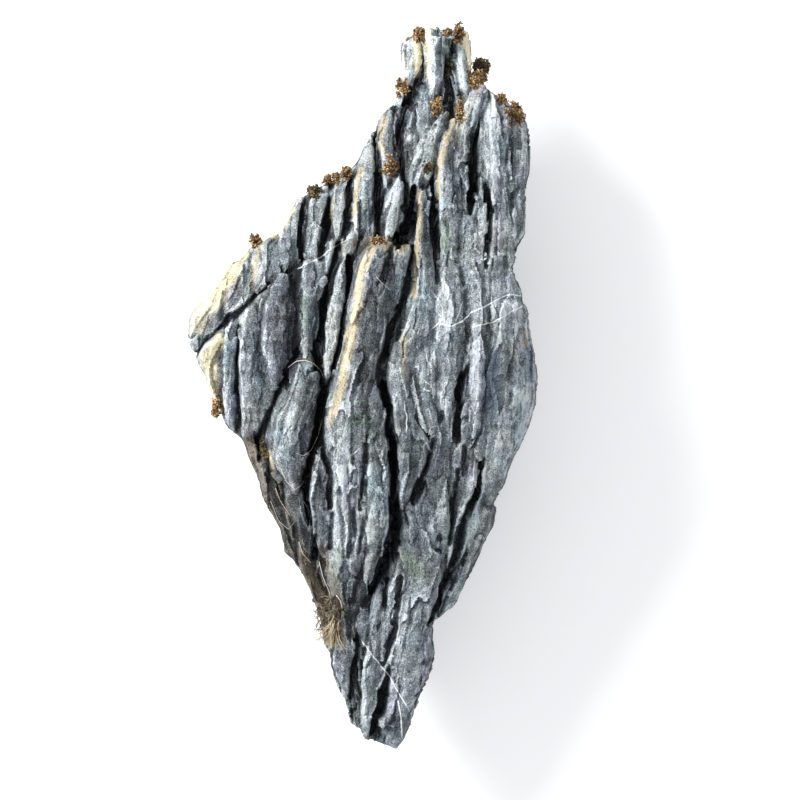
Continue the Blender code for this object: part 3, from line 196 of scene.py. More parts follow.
WING_SHARDS = (
    ("wing block", 4, 2, ((257, 236, 240, 245, 0), (272, 222, 234, 246, 2), (290, 210, 226, 246, 3),
        (308, 195, 215, 244, 3), (320, 189, 208, 231, 2), (331, 188, 203, 221, 1),
        (342, 190, 199, 209, -1), (351, 194, 198, 202, -5))),
    ("wing rib r", 2, 4, ((250, 243, 246, 250, -1), (272, 241, 248, 255, 1),
        (292, 243, 250, 262, 1), (304, 244, 248, 253, 0), (312, 244, 246, 248, -4))),
    ("wing rib p", 4, 3, ((234, 270, 274, 279, -1), (246, 254, 265, 279, 1),
        (262, 252, 264, 282, 2), (275, 252, 264, 283, 2), (287, 253, 261, 272, 1),
        (295, 252, 255, 259, -3))),
    ("wing rib q", 3, 4, ((206, 290, 294, 298, -2), (222, 284, 291, 296, 0),
        (245, 281, 288, 296, 0), (264, 281, 287, 296, 0), (277, 283, 287, 292, -4))),
    ("wing rib w", 3, 3, ((249, 316, 322, 328, -2), (265, 315, 322, 330, 0),
        (285, 314, 320, 328, 0), (303, 313, 317, 322, -4))),
    ("wing rib y", 3, 4, ((243, 331, 334, 339, -1), (258, 325, 331, 339, 0),
        (275, 323, 329, 334, 0), (293, 322, 325, 329, -4))),
    ("cream block", 4, 3, ((332, 219, 223, 228, 0), (345, 206, 216, 230, 2),
        (360, 198, 212, 230, 2.5), (378, 206, 214, 228, 2.5), (395, 211, 217, 227, 1.5),
        (411, 217, 221, 226, 0), (425, 226, 228, 230, -4))),
    ("thin blade", 4, 5, ((317, 233, 237, 241, -1), (335, 226, 232, 240, 1),
        (360, 224, 231, 238, 2), (385, 224, 229, 236, 2), (405, 225, 230, 237, 1),
        (425, 228, 233, 238, 0), (437, 235, 237, 239, -4))),
    ("wing shard t", 4, 3, ((302, 248, 253, 258, -1), (320, 243, 250, 262, 1),
        (345, 242, 251, 266, 2), (370, 242, 250, 261, 2), (395, 242, 251, 267, 1),
        (420, 243, 253, 267, 1), (437, 244, 252, 262, -1), (452, 250, 254, 258, -5))),
    ("wing shard u", 4, 4, ((275, 281, 285, 290, 0), (290, 271, 281, 291, 2),
        (310, 265, 278, 291, 3), (330, 263, 276, 290, 3), (350, 264, 275, 288, 3),
        (370, 268, 276, 284, 2), (389, 274, 277, 281, -2))),
    ("purple face", 1, 2, ((283, 291, 295, 300, -4), (310, 290, 295, 303, -3),
        (340, 289, 294, 303, -3), (365, 287, 292, 300, -4), (386, 284, 287, 291, -8))),
    ("wing shard v", 2, 4, ((263, 306, 311, 317, -1), (280, 304, 311, 321, 1),
        (305, 303, 310, 319, 1), (330, 303, 309, 317, 1), (350, 303, 308, 314, 0),
        (364, 304, 308, 313, -3))),
    ("blade x", 4, 5, ((261, 343, 347, 351, -2), (276, 337, 344, 348, 0), (300, 331, 340, 348, 1),
        (325, 328, 337, 344, 1), (350, 326, 334, 341, 0), (371, 325, 331, 337, -1),
        (391, 326, 328, 330, -5))),
    ("pale block", 4, 6, ((354, 303, 308, 314, -2), (370, 300, 309, 318, 1),
        (395, 289, 304, 319, 2), (415, 278, 297, 318, 3), (435, 272, 292, 316, 3),
        (455, 271, 290, 311, 3), (472, 279, 293, 307, 2), (486, 290, 296, 302, 0),
        (494, 295, 297, 299, -4))),
    ("wing floor", 2, 2, ((372, 262, 272, 282, -5), (400, 262, 270, 278, -4),
        (425, 258, 265, 272, -4), (445, 256, 261, 268, -6))),
)
PILLAR_SHARDS = (
    ("pillar", 7, 3, ((245, 372, 379, 393, 2), (251, 368, 376, 394, 6), (268, 360, 369, 386, 8),
        (283, 357, 365, 381, 8), (300, 353, 362, 385, 8), (330, 348, 358, 384, 8),
        (360, 341, 353, 379, 8), (385, 335, 349, 379, 8), (400, 330, 346, 384, 8),
        (420, 327, 346, 383, 8), (445, 327, 344, 372, 8), (470, 329, 343, 366, 8),
        (500, 331, 343, 364, 7), (520, 332, 344, 364, 6), (545, 334, 345, 362, 4),
        (575, 334, 345, 356, 2), (600, 340, 347, 353, -2), (609, 344, 346, 349, -6))),
    ("pillar right slab", 2, 8, ((425, 372, 377, 384, 4), (445, 366, 375, 390, 6),
        (470, 366, 377, 390, 7), (500, 364, 377, 391, 7), (520, 364, 376, 393, 6),
        (540, 364, 375, 388, 5), (560, 364, 371, 378, 3), (578, 364, 367, 372, 0),
        (592, 366, 368, 370, -4))),
    ("pillar left lobe", 6, 2, ((446, 319, 321, 324, 0), (456, 316, 322, 327, 4),
        (475, 313, 322, 331, 5), (500, 311, 320, 331, 5), (520, 314, 322, 334, 4),
        (540, 316, 325, 334, 2), (556, 322, 328, 334, -3))),
    ("pillar heel", 2, 5, ((540, 356, 364, 371, -1), (560, 356, 362, 369, -3),
        (585, 354, 359, 366, -5), (603, 352, 356, 361, -8))),
    ("ridge", 4, 7, ((343, 392, 402, 410, 0), (360, 389, 400, 413, 3), (380, 386, 400, 415, 4),
        (400, 388, 402, 417, 4), (420, 391, 404, 420, 4), (440, 395, 408, 428, 5),
        (460, 398, 410, 426, 5), (480, 399, 408, 419, 5), (496, 399, 405, 413, 4),
        (507, 401, 403, 406, 1))),
    ("ridge flake", 2, 5, ((338, 413, 422, 431, 0), (360, 413, 422, 432, 2),
        (385, 415, 424, 433, 3), (405, 417, 427, 437, 3), (422, 420, 429, 441, 3),
        (438, 430, 434, 441, 2), (452, 432, 435, 439, 1), (464, 430, 432, 435, -3))),
)
RIGHT_SHARDS = (
    ("face left", 4, 2, ((262, 440, 449, 460, -2), (285, 437, 449, 463, 1), (320, 434, 449, 465, 3),
        (350, 433, 449, 467, 4), (375, 434, 448, 461, 4), (390, 435, 446, 457, 4),
        (402, 437, 445, 453, 3), (422, 440, 445, 450, 1), (442, 441, 444, 448, -3),
        (458, 441, 443, 445, -7))),
    ("face middle", 2, 2, ((262, 462, 474, 490, 0), (290, 464, 477, 490, 2),
        (315, 465, 478, 490, 3), (345, 469, 475, 487, 4), (375, 469, 475, 482, 4),
        (400, 468, 474, 481, 3), (424, 468, 474, 482, 2), (434, 468, 472, 480, -1),
        (443, 465, 468, 472, -5))),
    ("face right", 2, 3, ((258, 493, 500, 509, -1), (290, 489, 498, 511, 1),
        (325, 489, 498, 513, 1), (350, 488, 497, 511, 1), (380, 484, 495, 508, 1),
        (410, 484, 496, 508, 1), (440, 485, 496, 509, 1), (465, 483, 495, 508, 1),
        (490, 479, 489, 501, 0), (503, 479, 486, 494, -3))),
    ("rim tooth", 2, 6, ((267, 507, 510, 513, -3), (282, 507, 513, 518, 0), (298, 509, 516, 522, 0),
        (316, 512, 516, 520, -4))),
    ("rim slab", 2, 8, ((300, 518, 522, 526, -2), (312, 515, 523, 529, 0), (335, 514, 523, 531, 1),
        (355, 512, 525, 535, 1), (385, 511, 526, 538, 1), (405, 511, 523, 536, 1),
        (430, 510, 518, 528, 1), (450, 508, 513, 520, 0), (470, 500, 505, 510, -1),
        (490, 495, 498, 502, -4))),
    ("knife ridge", 4, 8, ((436, 471, 476, 482, -3), (450, 466, 473, 484, 0),
        (470, 465, 472, 479, 1), (490, 461, 470, 475, 2), (505, 458, 466, 470, 2),
        (520, 455, 460, 464, 2), (540, 449, 453, 457, 1), (558, 446, 449, 452, -1),
        (573, 442, 445, 447, -5))),
    ("lower rib left", 3, 2, ((452, 440, 446, 452, -4), (470, 432, 442, 450, -2),
        (490, 428, 440, 448, 0), (510, 428, 440, 448, 1), (530, 430, 440, 447, 0),
        (552, 436, 441, 446, -4))),
    ("lower rib right", 2, 3, ((446, 450, 456, 462, -4), (470, 450, 456, 462, -3),
        (492, 449, 455, 461, -3), (515, 449, 453, 457, -4), (535, 447, 450, 453, -7))),
    ("hidden flank", 3, 5, ((494, 478, 485, 492, -5), (508, 472, 485, 497, -2),
        (530, 468, 480, 491, -2), (550, 463, 472, 482, -3), (575, 452, 461, 470, -4),
        (600, 442, 450, 457, -4), (616, 434, 438, 442, -6), (623, 431, 432, 434, -9))),
)
TAIL_SHARDS = (
    ("tail face", 4, 5, ((466, 420, 428, 434, -5), (486, 414, 424, 434, -2),
        (508, 404, 420, 436, 1), (530, 401, 424, 440, 2), (550, 400, 426, 441, 3),
        (575, 404, 425, 440, 3), (600, 402, 420, 434, 3), (620, 400, 417, 429, 3),
        (640, 395, 414, 432, 3), (660, 391, 411, 434, 3), (680, 391, 408, 428, 2),
        (700, 392, 406, 418, 2), (716, 388, 404, 414, 1), (732, 382, 400, 408, 0),
        (746, 382, 392, 400, -3))),
    ("tail rib", 3, 2, ((550, 394, 399, 404, -3), (575, 391, 397, 403, 0), (600, 387, 394, 400, 0),
        (620, 381, 388, 396, 0), (640, 380, 386, 392, 0), (656, 380, 383, 388, -1),
        (670, 380, 382, 384, -5))),
    ("tail prong", 3, 3, ((574, 376, 380, 383, -5), (600, 372, 378, 382, -1),
        (620, 369, 376, 381, -1), (640, 366, 374, 381, -1), (660, 363, 372, 381, -1),
        (680, 362, 372, 383, -1), (700, 361, 370, 381, -1), (716, 360, 366, 373, -1),
        (730, 360, 365, 370, -2), (741, 362, 364, 367, -5))),
    ("tail left", 3, 4, ((596, 336, 344, 350, -6), (625, 329, 342, 353, -2),
        (650, 330, 344, 357, -1), (675, 333, 343, 354, -1), (696, 341, 346, 352, -2),
        (712, 346, 349, 352, -4), (724, 348, 350, 352, -6))),
    ("tail heel", 2, 2, ((596, 352, 360, 370, -6), (625, 354, 361, 370, -4),
        (645, 358, 362, 368, -6))),
)
FLANK_SHARDS = (
    ("flank outer", 3, 3, ((434, 241, 247, 254, -5), (455, 248, 258, 269, -2),
        (475, 256, 264, 275, -2), (500, 263, 272, 284, -2), (526, 279, 285, 293, -2),
        (546, 283, 289, 297, -3), (561, 293, 296, 300, -6))),
    ("flank inner", 3, 3, ((478, 284, 292, 302, -5), (500, 283, 295, 308, -3),
        (522, 288, 299, 311, -3), (546, 294, 304, 313, -4), (572, 300, 308, 317, -4),
        (597, 312, 319, 327, -5), (618, 318, 325, 332, -5), (644, 324, 330, 336, -5))),
    ("flank step", 3, 3, ((545, 316, 323, 332, -7), (570, 318, 326, 334, -6),
        (596, 326, 333, 340, -6), (612, 332, 338, 343, -8))),
)
# Broad, low shards that the others stand on.
BED_SHARDS = (
    ("face bed", 3, 4, ((112, 480, 500, 524, -1), (150, 470, 495, 526, -1),
        (200, 442, 488, 521, -1), (260, 440, 480, 513, 0), (300, 424, 475, 521, 1),
        (350, 412, 470, 530, 2), (400, 408, 465, 532, 2), (450, 408, 455, 515, 0),
        (500, 406, 450, 488, -2), (550, 400, 435, 470, -1), (600, 380, 420, 445, 0),
        (660, 364, 405, 430, 0), (715, 362, 390, 410, -1), (735, 376, 390, 400, -5))),
    ("pillar bed", 4, 4, ((262, 368, 384, 402, 1), (300, 358, 378, 394, 4), (350, 350, 370, 384, 5),
        (400, 338, 362, 384, 5), (450, 328, 355, 388, 7), (500, 328, 352, 390, 6.5),
        (540, 328, 352, 386, 5), (570, 326, 350, 380, 1), (600, 325, 350, 370, -3),
        (640, 335, 350, 365, -4))),
    ("wing bed", 3, 3, ((262, 240, 285, 335, -4), (300, 215, 270, 330, -3),
        (350, 205, 265, 320, -3), (400, 218, 268, 310, -3), (440, 240, 270, 300, -4),
        (470, 258, 280, 300, -6))),
)
FRONT_SHARDS = (CROWN_SHARDS + UPPER_SHARDS + WING_SHARDS + PILLAR_SHARDS + RIGHT_SHARDS
                + TAIL_SHARDS + FLANK_SHARDS + BED_SHARDS)
# ---------------------------------------------------------------- the clefts of the broad face
CLEFT_EASE = 0.8                # sheet squares added to each side for the sloping lip
CLEFT_FADE = 8 * MM             # a cleft dies out over this height above the level of the outline
CLEFT_WALL = 1.2                # sheet squares over which its steep side drops
CLEFT_SLOPE = 0.55              # how steeply its other side rises again
CLEFT_TURN = 0.6                # the slope of a route at which the steep side changes over
CLEFT_WAVE = 1.0                # sheet squares a route strays from its drawn line
CLEFT_JAG = 0.3
# A cleft is its depth in millimetres and its route, as sheet x, y and width.
CLEFTS = (
    (5.7, ((423, 46, 4), (424, 70, 5), (420, 84, 8), (417, 100, 9), (413, 112, 5))),
    (10.1, ((411, 92, 3), (408, 105, 8), (403, 125, 9), (400, 138, 8), (401, 150, 7), (402, 170, 7),
        (406, 190, 6), (405, 214, 5))),
    (5.7, ((451, 40, 3), (451, 60, 8), (449, 80, 9), (451, 100, 13), (451, 118, 10),
        (447, 134, 2))),
    (2.5, ((462, 112, 3), (460, 130, 4), (457, 152, 3))),
    (13.7, ((478, 126, 2), (474, 144, 9), (472, 166, 12), (473, 192, 9), (469, 218, 2))),
    (11.8, ((485, 184, 2), (487, 208, 8), (487, 236, 7), (485, 270, 2))),
    (2.5, ((511, 120, 2), (511, 150, 4), (510, 178, 3))),
    (11, ((378, 114, 4), (376, 142, 7), (378, 165, 9), (379, 200, 10), (380, 240, 8))),
    (8, ((353, 176, 3), (351, 200, 6), (350, 225, 6), (345, 244, 3))),
    (8, ((331, 200, 3), (329, 220, 8), (325, 240, 8), (322, 262, 4))),
    (8, ((309, 192, 3), (305, 215, 8), (304, 236, 8), (304, 262, 4))),
    (22.7, ((414, 190, 5), (413, 210, 8), (410, 228, 12), (404, 240, 17), (402, 246, 16))),
    (2.5, ((424, 177, 4), (424, 186, 10), (422, 195, 6))),
    (11.8, ((433, 179, 3), (434, 200, 7), (434, 240, 7), (435, 262, 6), (436, 285, 3))),
    (7, ((202, 352, 5), (210, 343, 4), (222, 331, 5), (234, 320, 8), (247, 309, 9), (258, 299, 4),
        (270, 288, 3))),
    (0.6, ((270, 288, 2), (285, 278, 5), (300, 268, 3), (322, 257, 1.5), (336, 246, 2))),
    (3.4, ((229, 292, 4), (226, 308, 6), (224, 320, 5))),
    (1.8, ((248, 274, 3), (247, 290, 4), (247, 304, 3))),
    (11.8, ((340, 248, 5), (331, 280, 7), (325, 310, 8), (321, 340, 8), (317, 352, 8),
        (322, 362, 9), (325, 385, 7))),
    (15.8, ((351, 258, 4), (351, 285, 6), (347, 310, 5), (341, 345, 5), (333, 375, 7),
        (326, 400, 12), (321, 430, 12), (314, 450, 9), (308, 475, 9), (309, 500, 7), (314, 522, 5),
        (315, 556, 5))),
    (8, ((243, 328, 4), (240, 360, 5), (239, 390, 5), (240, 420, 5), (240, 433, 6))),
    (1.8, ((264, 335, 5), (260, 360, 8), (257, 380, 4))),
    (7, ((301, 350, 4), (287, 378, 6), (278, 400, 7), (270, 420, 6), (263, 440, 6), (262, 460, 4))),
    (3.4, ((270, 455, 3), (272, 480, 3))),
    (7, ((393, 250, 4), (386, 270, 7), (378, 288, 3))),
    (10.1, ((414, 250, 5), (410, 275, 6), (404, 300, 6), (397, 318, 5), (389, 332, 8),
        (387, 352, 7), (380, 366, 6), (381, 380, 6), (386, 396, 8))),
    (20.2, ((383, 384, 6), (389, 402, 8), (388, 422, 8), (393, 445, 9), (395, 470, 9),
        (395, 500, 10), (397, 522, 11), (391, 548, 13), (382, 568, 11), (373, 588, 8))),
    (9, ((325, 442, 3), (327, 455, 7), (331, 470, 4))),
    (7, ((333, 466, 3), (332, 486, 5), (331, 506, 3))),
    (7, ((367, 434, 3), (366, 462, 6), (364, 484, 6), (362, 508, 3))),
    (4, ((348, 460, 3), (349, 471, 6), (350, 481, 3))),
    (6, ((334, 511, 3), (333, 526, 6), (331, 546, 3))),
    (6, ((354, 508, 3), (354, 530, 6), (351, 554, 4))),
    (5, ((366, 516, 3), (363, 534, 5), (360, 550, 3))),
    (8.5, ((433, 440, 5), (427, 463, 5), (421, 480, 6), (414, 500, 5))),
    (2, ((440, 414, 2), (438, 426, 3), (436, 436, 2))),
    (1.8, ((472, 357, 3), (469, 376, 3))),
    (11, ((467, 366, 2), (463, 377, 6), (459, 391, 7), (458, 405, 4), (455, 422, 4),
        (457, 440, 1.5))),
    (1.8, ((465, 447, 2), (471, 438, 2.5), (481, 432, 2))),
    (5.7, ((464, 447, 4), (463, 474, 4))),
    (5.7, ((458, 469, 4), (456, 490, 5), (452, 505, 5), (450, 540, 5))),
    (11.8, ((482, 458, 3), (479, 475, 4), (476, 493, 5), (470, 504, 7), (463, 517, 7),
        (461, 530, 8), (459, 545, 9), (455, 560, 9), (447, 576, 9), (441, 592, 9), (436, 606, 8),
        (430, 622, 7))),
    (4.5, ((440, 533, 3), (438, 550, 4))),
    (4.5, ((446, 554, 3), (445, 572, 5))),
    (7, ((401, 576, 4), (399, 600, 6), (395, 625, 6), (389, 645, 6), (383, 663, 3))),
    (4.5, ((387, 560, 8), (386, 580, 8), (384, 604, 3))),
    (11.8, ((390, 664, 2), (386, 690, 8), (383, 708, 9), (377, 720, 11), (374, 738, 10))),
    (7, ((359, 636, 6), (357, 655, 7), (353, 676, 6), (351, 697, 3))),
    (4.5, ((361, 692, 3), (359, 704, 4), (354, 712, 9), (353, 722, 8))),
    (3.4, ((422, 642, 2.5), (423, 656, 3), (420, 665, 4), (419, 680, 3))),
    (1.8, ((505, 250, 5), (507, 276, 4))),
    (1.8, ((466, 296, 4), (470, 320, 6), (468, 342, 4))),
    (1.8, ((487, 304, 3), (489, 325, 4), (490, 340, 4), (484, 360, 4), (482, 376, 3))),
    (1.8, ((519, 330, 4), (515, 350, 5), (509, 366, 4), (506, 379, 4))),
    (1.8, ((462, 215, 3), (459, 240, 4), (458, 262, 4), (462, 288, 3))),
    (2.5, ((368, 548, 4), (360, 575, 6), (354, 600, 5))),
    (1.8, ((324, 548, 8), (328, 575, 8), (333, 606, 9))),
    (1.8, ((516, 396, 3), (518, 420, 3), (510, 434, 4))),
)
# ---------------------------------------------------------------- the shards of the sides and back
GIRDLE_COLUMNS = 15             # ridges side by side, from one rim round the back to the other rim
GIRDLE_FROM = math.radians(14)  # the first and the last column lie this far above the rims
GIRDLE_SHARD_LENGTH = 180       # sheet squares
GIRDLE_LAP = 0.6                # each shard starts this far down the one before it
GIRDLE_HALF_WIDTH = 0.58        # of the space between two columns
GIRDLE_DROP = 9.0 * MM          # from a crest to its feet
GIRDLE_RISE = 5.0 * MM          # how much higher or lower one shard stands than another
GIRDLE_WALL = 18 * MM
GIRDLE_INSET = 0.97
GIRDLE_STRAY = 0.2              # of the space between two columns, that a shard strays sideways
GIRDLE_SINK = 0.5               # of the rise, by which the shards are sunk on the whole
GIRDLE_VARIETY = 0.6            # how unlike each other the drops of two flanks are
GIRDLE_CREST_STRAY = 0.5        # of the half width
GIRDLE_BREAK = 0.35             # a flank has dropped this share halfway to its foot
GIRDLE_TIP = 1 * MM             # half width left at a shard's two ends
GIRDLE_JITTER = 0.4             # of a lap or a length, that a shard starts or ends off its place
GIRDLE_STAGGER = 0.5            # of a lap, between one column and the next
GIRDLE_SHORTEST = 45            # sheet squares
GIRDLE_SEED = 200               # so that the girdle strays unlike the shards of the face
GIRDLE_TOP = 38
GIRDLE_BOTTOM = 726
# How wide and high a girdle shard is along its length, as a part of the fullest.
SWELL = ((0, 0.2), (0.15, 0.85), (0.5, 1.0), (0.8, 0.75), (1, 0.15))


def noise_at(a, b, c):
    """Smooth noise between about -1 and 1 at arrays of places. Each is divided by the noise's size."""
    a, b, c = np.broadcast_arrays(a, b, c)
    return np.array([noise.noise(place) for place in zip(a.tolist(), b.tolist(), c.tolist())])


def along(table, y):
    """The value of a (y, value) table at y, on straight lines between its points."""
    return np.interp(y, [row[0] for row in table], [row[1] for row in table])


def spine_and_edge(x, y):
    """Sheet x of the spine at y, and of the outline on the side of it where x lies."""
    spine = along(SPINE, y)
    return spine, np.where(x < spine, along(LEFT_EDGE, y), along(RIGHT_EDGE, y))


def face_height(x, y):
    """Height of the face's dome above the level of the outline, in metres."""
    spine, edge = spine_and_edge(x, y)
    across = np.minimum(1.0, (x - spine) / (edge - spine))
    dome = (1 - across ** DOME_POWER) ** (1 / DOME_POWER)
    return along(FRONT_BULGE, y) * MM * (RIM_SHARE + (1 - RIM_SHARE) * dome)


def on_sheet(x, y, z):
    """World point over sheet point (x, y) at height z."""
    return Vector(((x - SHEET_CENTRE[0]) * SQUARE, (SHEET_CENTRE[1] - y) * SQUARE, z))


def sheet_xy(points):
    """Sheet x and y of an array of world points."""
    return points[:, 0] / SQUARE + SHEET_CENTRE[0], SHEET_CENTRE[1] - points[:, 1] / SQUARE


def wander(y, seed, line, period=WANDER_PERIOD):
    """A smooth stray value between about -1 and 1, that changes along y."""
    return WANDER_GAIN * noise.noise((y / period, 7.31 * seed, 3.77 * line))


def strayed(x, y, seed, line):
    """A sheet x off its drawn line, by a slow wander and the finer one of small chips."""
    chip = EDGE_CHIP * wander(y, seed, 10 + line, CHIP_PERIOD)
    return x + (EDGE_WANDER * wander(y, seed, line) + chip)


def loft(mesh, rings):
    """A closed skin over rings that all have the same number of points."""
    rows = [[mesh.verts.new(point) for point in ring] for ring in rings]
    count = len(rows[0])
    for upper, lower in zip(rows, rows[1:]):
        for i in range(count):
            j = (i + 1) % count
            mesh.faces.new((upper[i], lower[i], lower[j], upper[j]))
    mesh.faces.new(rows[0])
    mesh.faces.new(rows[-1][::-1])


def ring_places(top, bottom, step):
    count = max(2, round((bottom - top) / step))
    return [top + (bottom - top) * i / count for i in range(count + 1)]


def shard_section(y, sections, drops, seed):
    """A shard's left foot, crest and right foot at y, as sheet x and height above MIDDLE."""
    rows = [row[0] for row in sections]
    left, crest, right, rise = (np.interp(y, rows, [row[i] for row in sections]) for i in range(1, 5))
    left = strayed(left, y, seed, 1)
    right = max(strayed(right, y, seed, 2), left + SHARD_NARROWEST)
    crest = min(max(strayed(crest, y, seed, 3), left + CREST_CLEAR), right - CREST_CLEAR)
    chip = CREST_CHIP * wander(y, seed, 14, CHIP_PERIOD)
    top = rise * MM + CREST_WANDER * (wander(y, seed, 4) + chip)
    places = np.array((left, crest, right))
    return places, face_height(places, y) + top - MM * np.array((drops[0], 0, drops[1]))


def shard_ring(y, places, heights, seed):
    """One cross-section of a shard: a crest with two sloping flanks over two steep walls."""
    left, crest, right = places
    low_left, high, low_right = heights
    wall_foot = -RIM_SHARE * along(BACK_BULGE, y) * MM * (WALL_DEPTH * (1 + wander(0, seed, 5)))
    shoulders = []
    for foot, low, line in ((left, low_left, 6), (right, low_right, 7)):
        bevel = SHOULDER * (1 + SHOULDER_VARIETY * wander(y, seed, line))
        shoulders.append((foot + bevel * (crest - foot), low + SHOULDER_RISE * (high - low)))
    outline = ((left - SKIRT, wall_foot), (left - SKIRT, low_left - SKIRT_DROP), (left, low_left),
               shoulders[0], (crest, high), shoulders[1],
               (right, low_right), (right + SKIRT, low_right - SKIRT_DROP), (right + SKIRT, wall_foot))
    return [on_sheet(x, y, MIDDLE + z) for x, z in outline]


def section_point(y, angle, inset, front, back):
    """A point of the cross-section at y. The angle is 0 at the right rim, 90 degrees in front."""
    spine = along(SPINE, y)
    out = math.copysign(abs(math.cos(angle)) ** (2 / SECTION_POWER), math.cos(angle))
    up = math.copysign(abs(math.sin(angle)) ** (2 / SECTION_POWER), math.sin(angle))
    edge = along(LEFT_EDGE, y) if out < 0 else along(RIGHT_EDGE, y)
    x = spine + inset * abs(out) * (edge - spine)
    return on_sheet(x, y, MIDDLE + up * (front if up > 0 else back))


def core_ring(y):
    """One cross-section of the body under the shards."""
    front = max(CORE_THINNEST, along(FRONT_BULGE, y) * MM - CORE_BELOW_FACE)
    back = max(CORE_THINNEST, along(BACK_BULGE, y) * MM - CORE_BELOW_BACK)
    turns = [2 * math.pi * i / CORE_RING_POINTS for i in range(CORE_RING_POINTS)]
    return [section_point(y, turn, CORE_INSET, front, back) for turn in turns]


def girdle_ring(y, angle, swell, seed):
    """One cross-section of a shard on a side or the back, standing square to the surface there."""
    front, back = along(FRONT_BULGE, y) * MM, along(BACK_BULGE, y) * MM
    spacing = (math.pi + 2 * GIRDLE_FROM) / GIRDLE_COLUMNS
    angle += GIRDLE_STRAY * spacing * wander(y, seed, 1)
    ahead, centre, behind = (section_point(y, angle + turn * spacing / 2, GIRDLE_INSET, front, back)
                             for turn in (1, 0, -1))
    tangent = ahead - behind
    half = GIRDLE_HALF_WIDTH * tangent.length * swell + GIRDLE_TIP
    tangent.normalize()
    outward = Vector((tangent.z, 0, -tangent.x))
    rise = GIRDLE_RISE * (wander(0, seed, 2) - GIRDLE_SINK) - GIRDLE_DROP * (1 - swell)
    rise += CREST_WANDER * wander(y, seed, 3)
    left, right = (GIRDLE_DROP * (1 + GIRDLE_VARIETY * wander(0, seed, line)) for line in (4, 5))
    crest = GIRDLE_CREST_STRAY * wander(0, seed, 6) * half
    profile = ((-half, GIRDLE_WALL), (-half, left), ((crest - half) / 2, GIRDLE_BREAK * left),
               (crest, 0), ((crest + half) / 2, GIRDLE_BREAK * right), (half, right),
               (half, GIRDLE_WALL))
    return [centre + tangent * float(side) + outward * float(rise - below) for side, below in profile]


def add_girdle(mesh):
    """Overlapping shards round the sides and the back, which follow the stone's lengthwise grain."""
    lap = GIRDLE_SHARD_LENGTH * GIRDLE_LAP
    rows = math.ceil((GIRDLE_BOTTOM - GIRDLE_TOP) / lap)
    for column in range(GIRDLE_COLUMNS):
        angle = GIRDLE_FROM - (math.pi + 2 * GIRDLE_FROM) * (column + 0.5) / GIRDLE_COLUMNS
        for row in range(rows):
            seed = GIRDLE_SEED + column * rows + row
            place = row + GIRDLE_JITTER * wander(0, seed, 7) - GIRDLE_STAGGER * (column % 2)
            top = GIRDLE_TOP + lap * place
            length = GIRDLE_SHARD_LENGTH * (1 + GIRDLE_JITTER * wander(0, seed, 8))
            bottom = min(top + length, GIRDLE_BOTTOM)
            top = max(top, GIRDLE_TOP)
            if bottom - top < GIRDLE_SHORTEST:
                continue
            loft(mesh, [girdle_ring(y, angle, along(SWELL, (y - top) / (bottom - top)), seed)
                        for y in ring_places(top, bottom, GIRDLE_RING_STEP)])


mesh = bmesh.new()
loft(mesh, [core_ring(y) for y in ring_places(CORE_TOP, CORE_BOTTOM, CORE_RING_STEP)])
shard_lines = []                # for each shard its ring places, and its feet and crest at each
for seed, (_, drop_left, drop_right, sections) in enumerate(FRONT_SHARDS):
    rows = ring_places(sections[0][0], sections[-1][0], SHARD_RING_STEP)
    cuts = [shard_section(y, sections, (drop_left, drop_right), seed) for y in rows]
    loft(mesh, [shard_ring(y, places, heights, seed) for y, (places, heights) in zip(rows, cuts)])
    places, heights = zip(*cuts)
    shard_lines.append((np.array(rows), np.array(places), np.array(heights)))
add_girdle(mesh)
bmesh.ops.recalc_face_normals(mesh, faces=list(mesh.faces))
stone = bpy.data.objects.new("stone_fine", bpy.data.meshes.new("stone_fine"))
bpy.context.collection.objects.link(stone)
mesh.to_mesh(stone.data)
mesh.free()


def alone(obj):
    """Makes obj the only selected object, for the operators that follow."""
    bpy.ops.object.select_all(action="DESELECT")
    obj.select_set(True)
    bpy.context.view_layer.objects.active = obj


def shape_with(obj, kind, **settings):
    """Adds a modifier to obj and applies it."""
    alone(obj)
    modifier = obj.modifiers.new(kind.title(), kind)
    for setting, value in settings.items():
        setattr(modifier, setting, value)
    bpy.ops.object.modifier_apply(modifier=modifier.name)


def triples(items, field):
    """A vector of each item of a mesh, as rows of three."""
    values = np.empty(len(items) * 3, np.float32)
    items.foreach_get(field, values)
    return values.reshape(-1, 3).astype(float)


def points_of(obj):
    return triples(obj.data.vertices, "co")


def normals_of(obj):
    return triples(obj.data.vertex_normals, "vector")


def move_points(obj, points):
    obj.data.vertices.foreach_set("co", points.astype(np.float32).ravel())
    obj.data.update()


def beside(x, y, route):
    """For each run of a route: its two ends, how far along it each sheet point lies from 0 to 1, how
    many squares away from it, and a number that is above 0 to its right as it goes down the sheet."""
    for start, end in zip(route, route[1:]):
        x0, y0 = start[:2]
        run_x, run_y = end[0] - x0, end[1] - y0
        part = np.clip(((x - x0) * run_x + (y - y0) * run_y) / (run_x ** 2 + run_y ** 2), 0, 1)
        away = np.hypot(x - x0 - part * run_x, y - y0 - part * run_y)
        yield start, end, part, away, (x - x0) * run_y - (y - y0) * run_x


def cleft_share(x, y, ragged, route):
    """1 at the foot of a cleft's steep upper left side, falling to 0 up its lower right slope."""
    share = np.zeros(len(x))
    for (x0, y0, width0), (x1, y1, width1), part, away, side in beside(x, y, route):
        away = away * np.sign(side * math.copysign(1, y1 - y0 - CLEFT_TURN * (x1 - x0)))
        half = ragged * (width0 + part * (width1 - width0)) / 2 + CLEFT_EASE
        slope = np.minimum((away + half) / CLEFT_WALL, CLEFT_SLOPE * (half - away) / half)
        share = np.maximum(share, np.clip(slope, 0, 1))
    return share


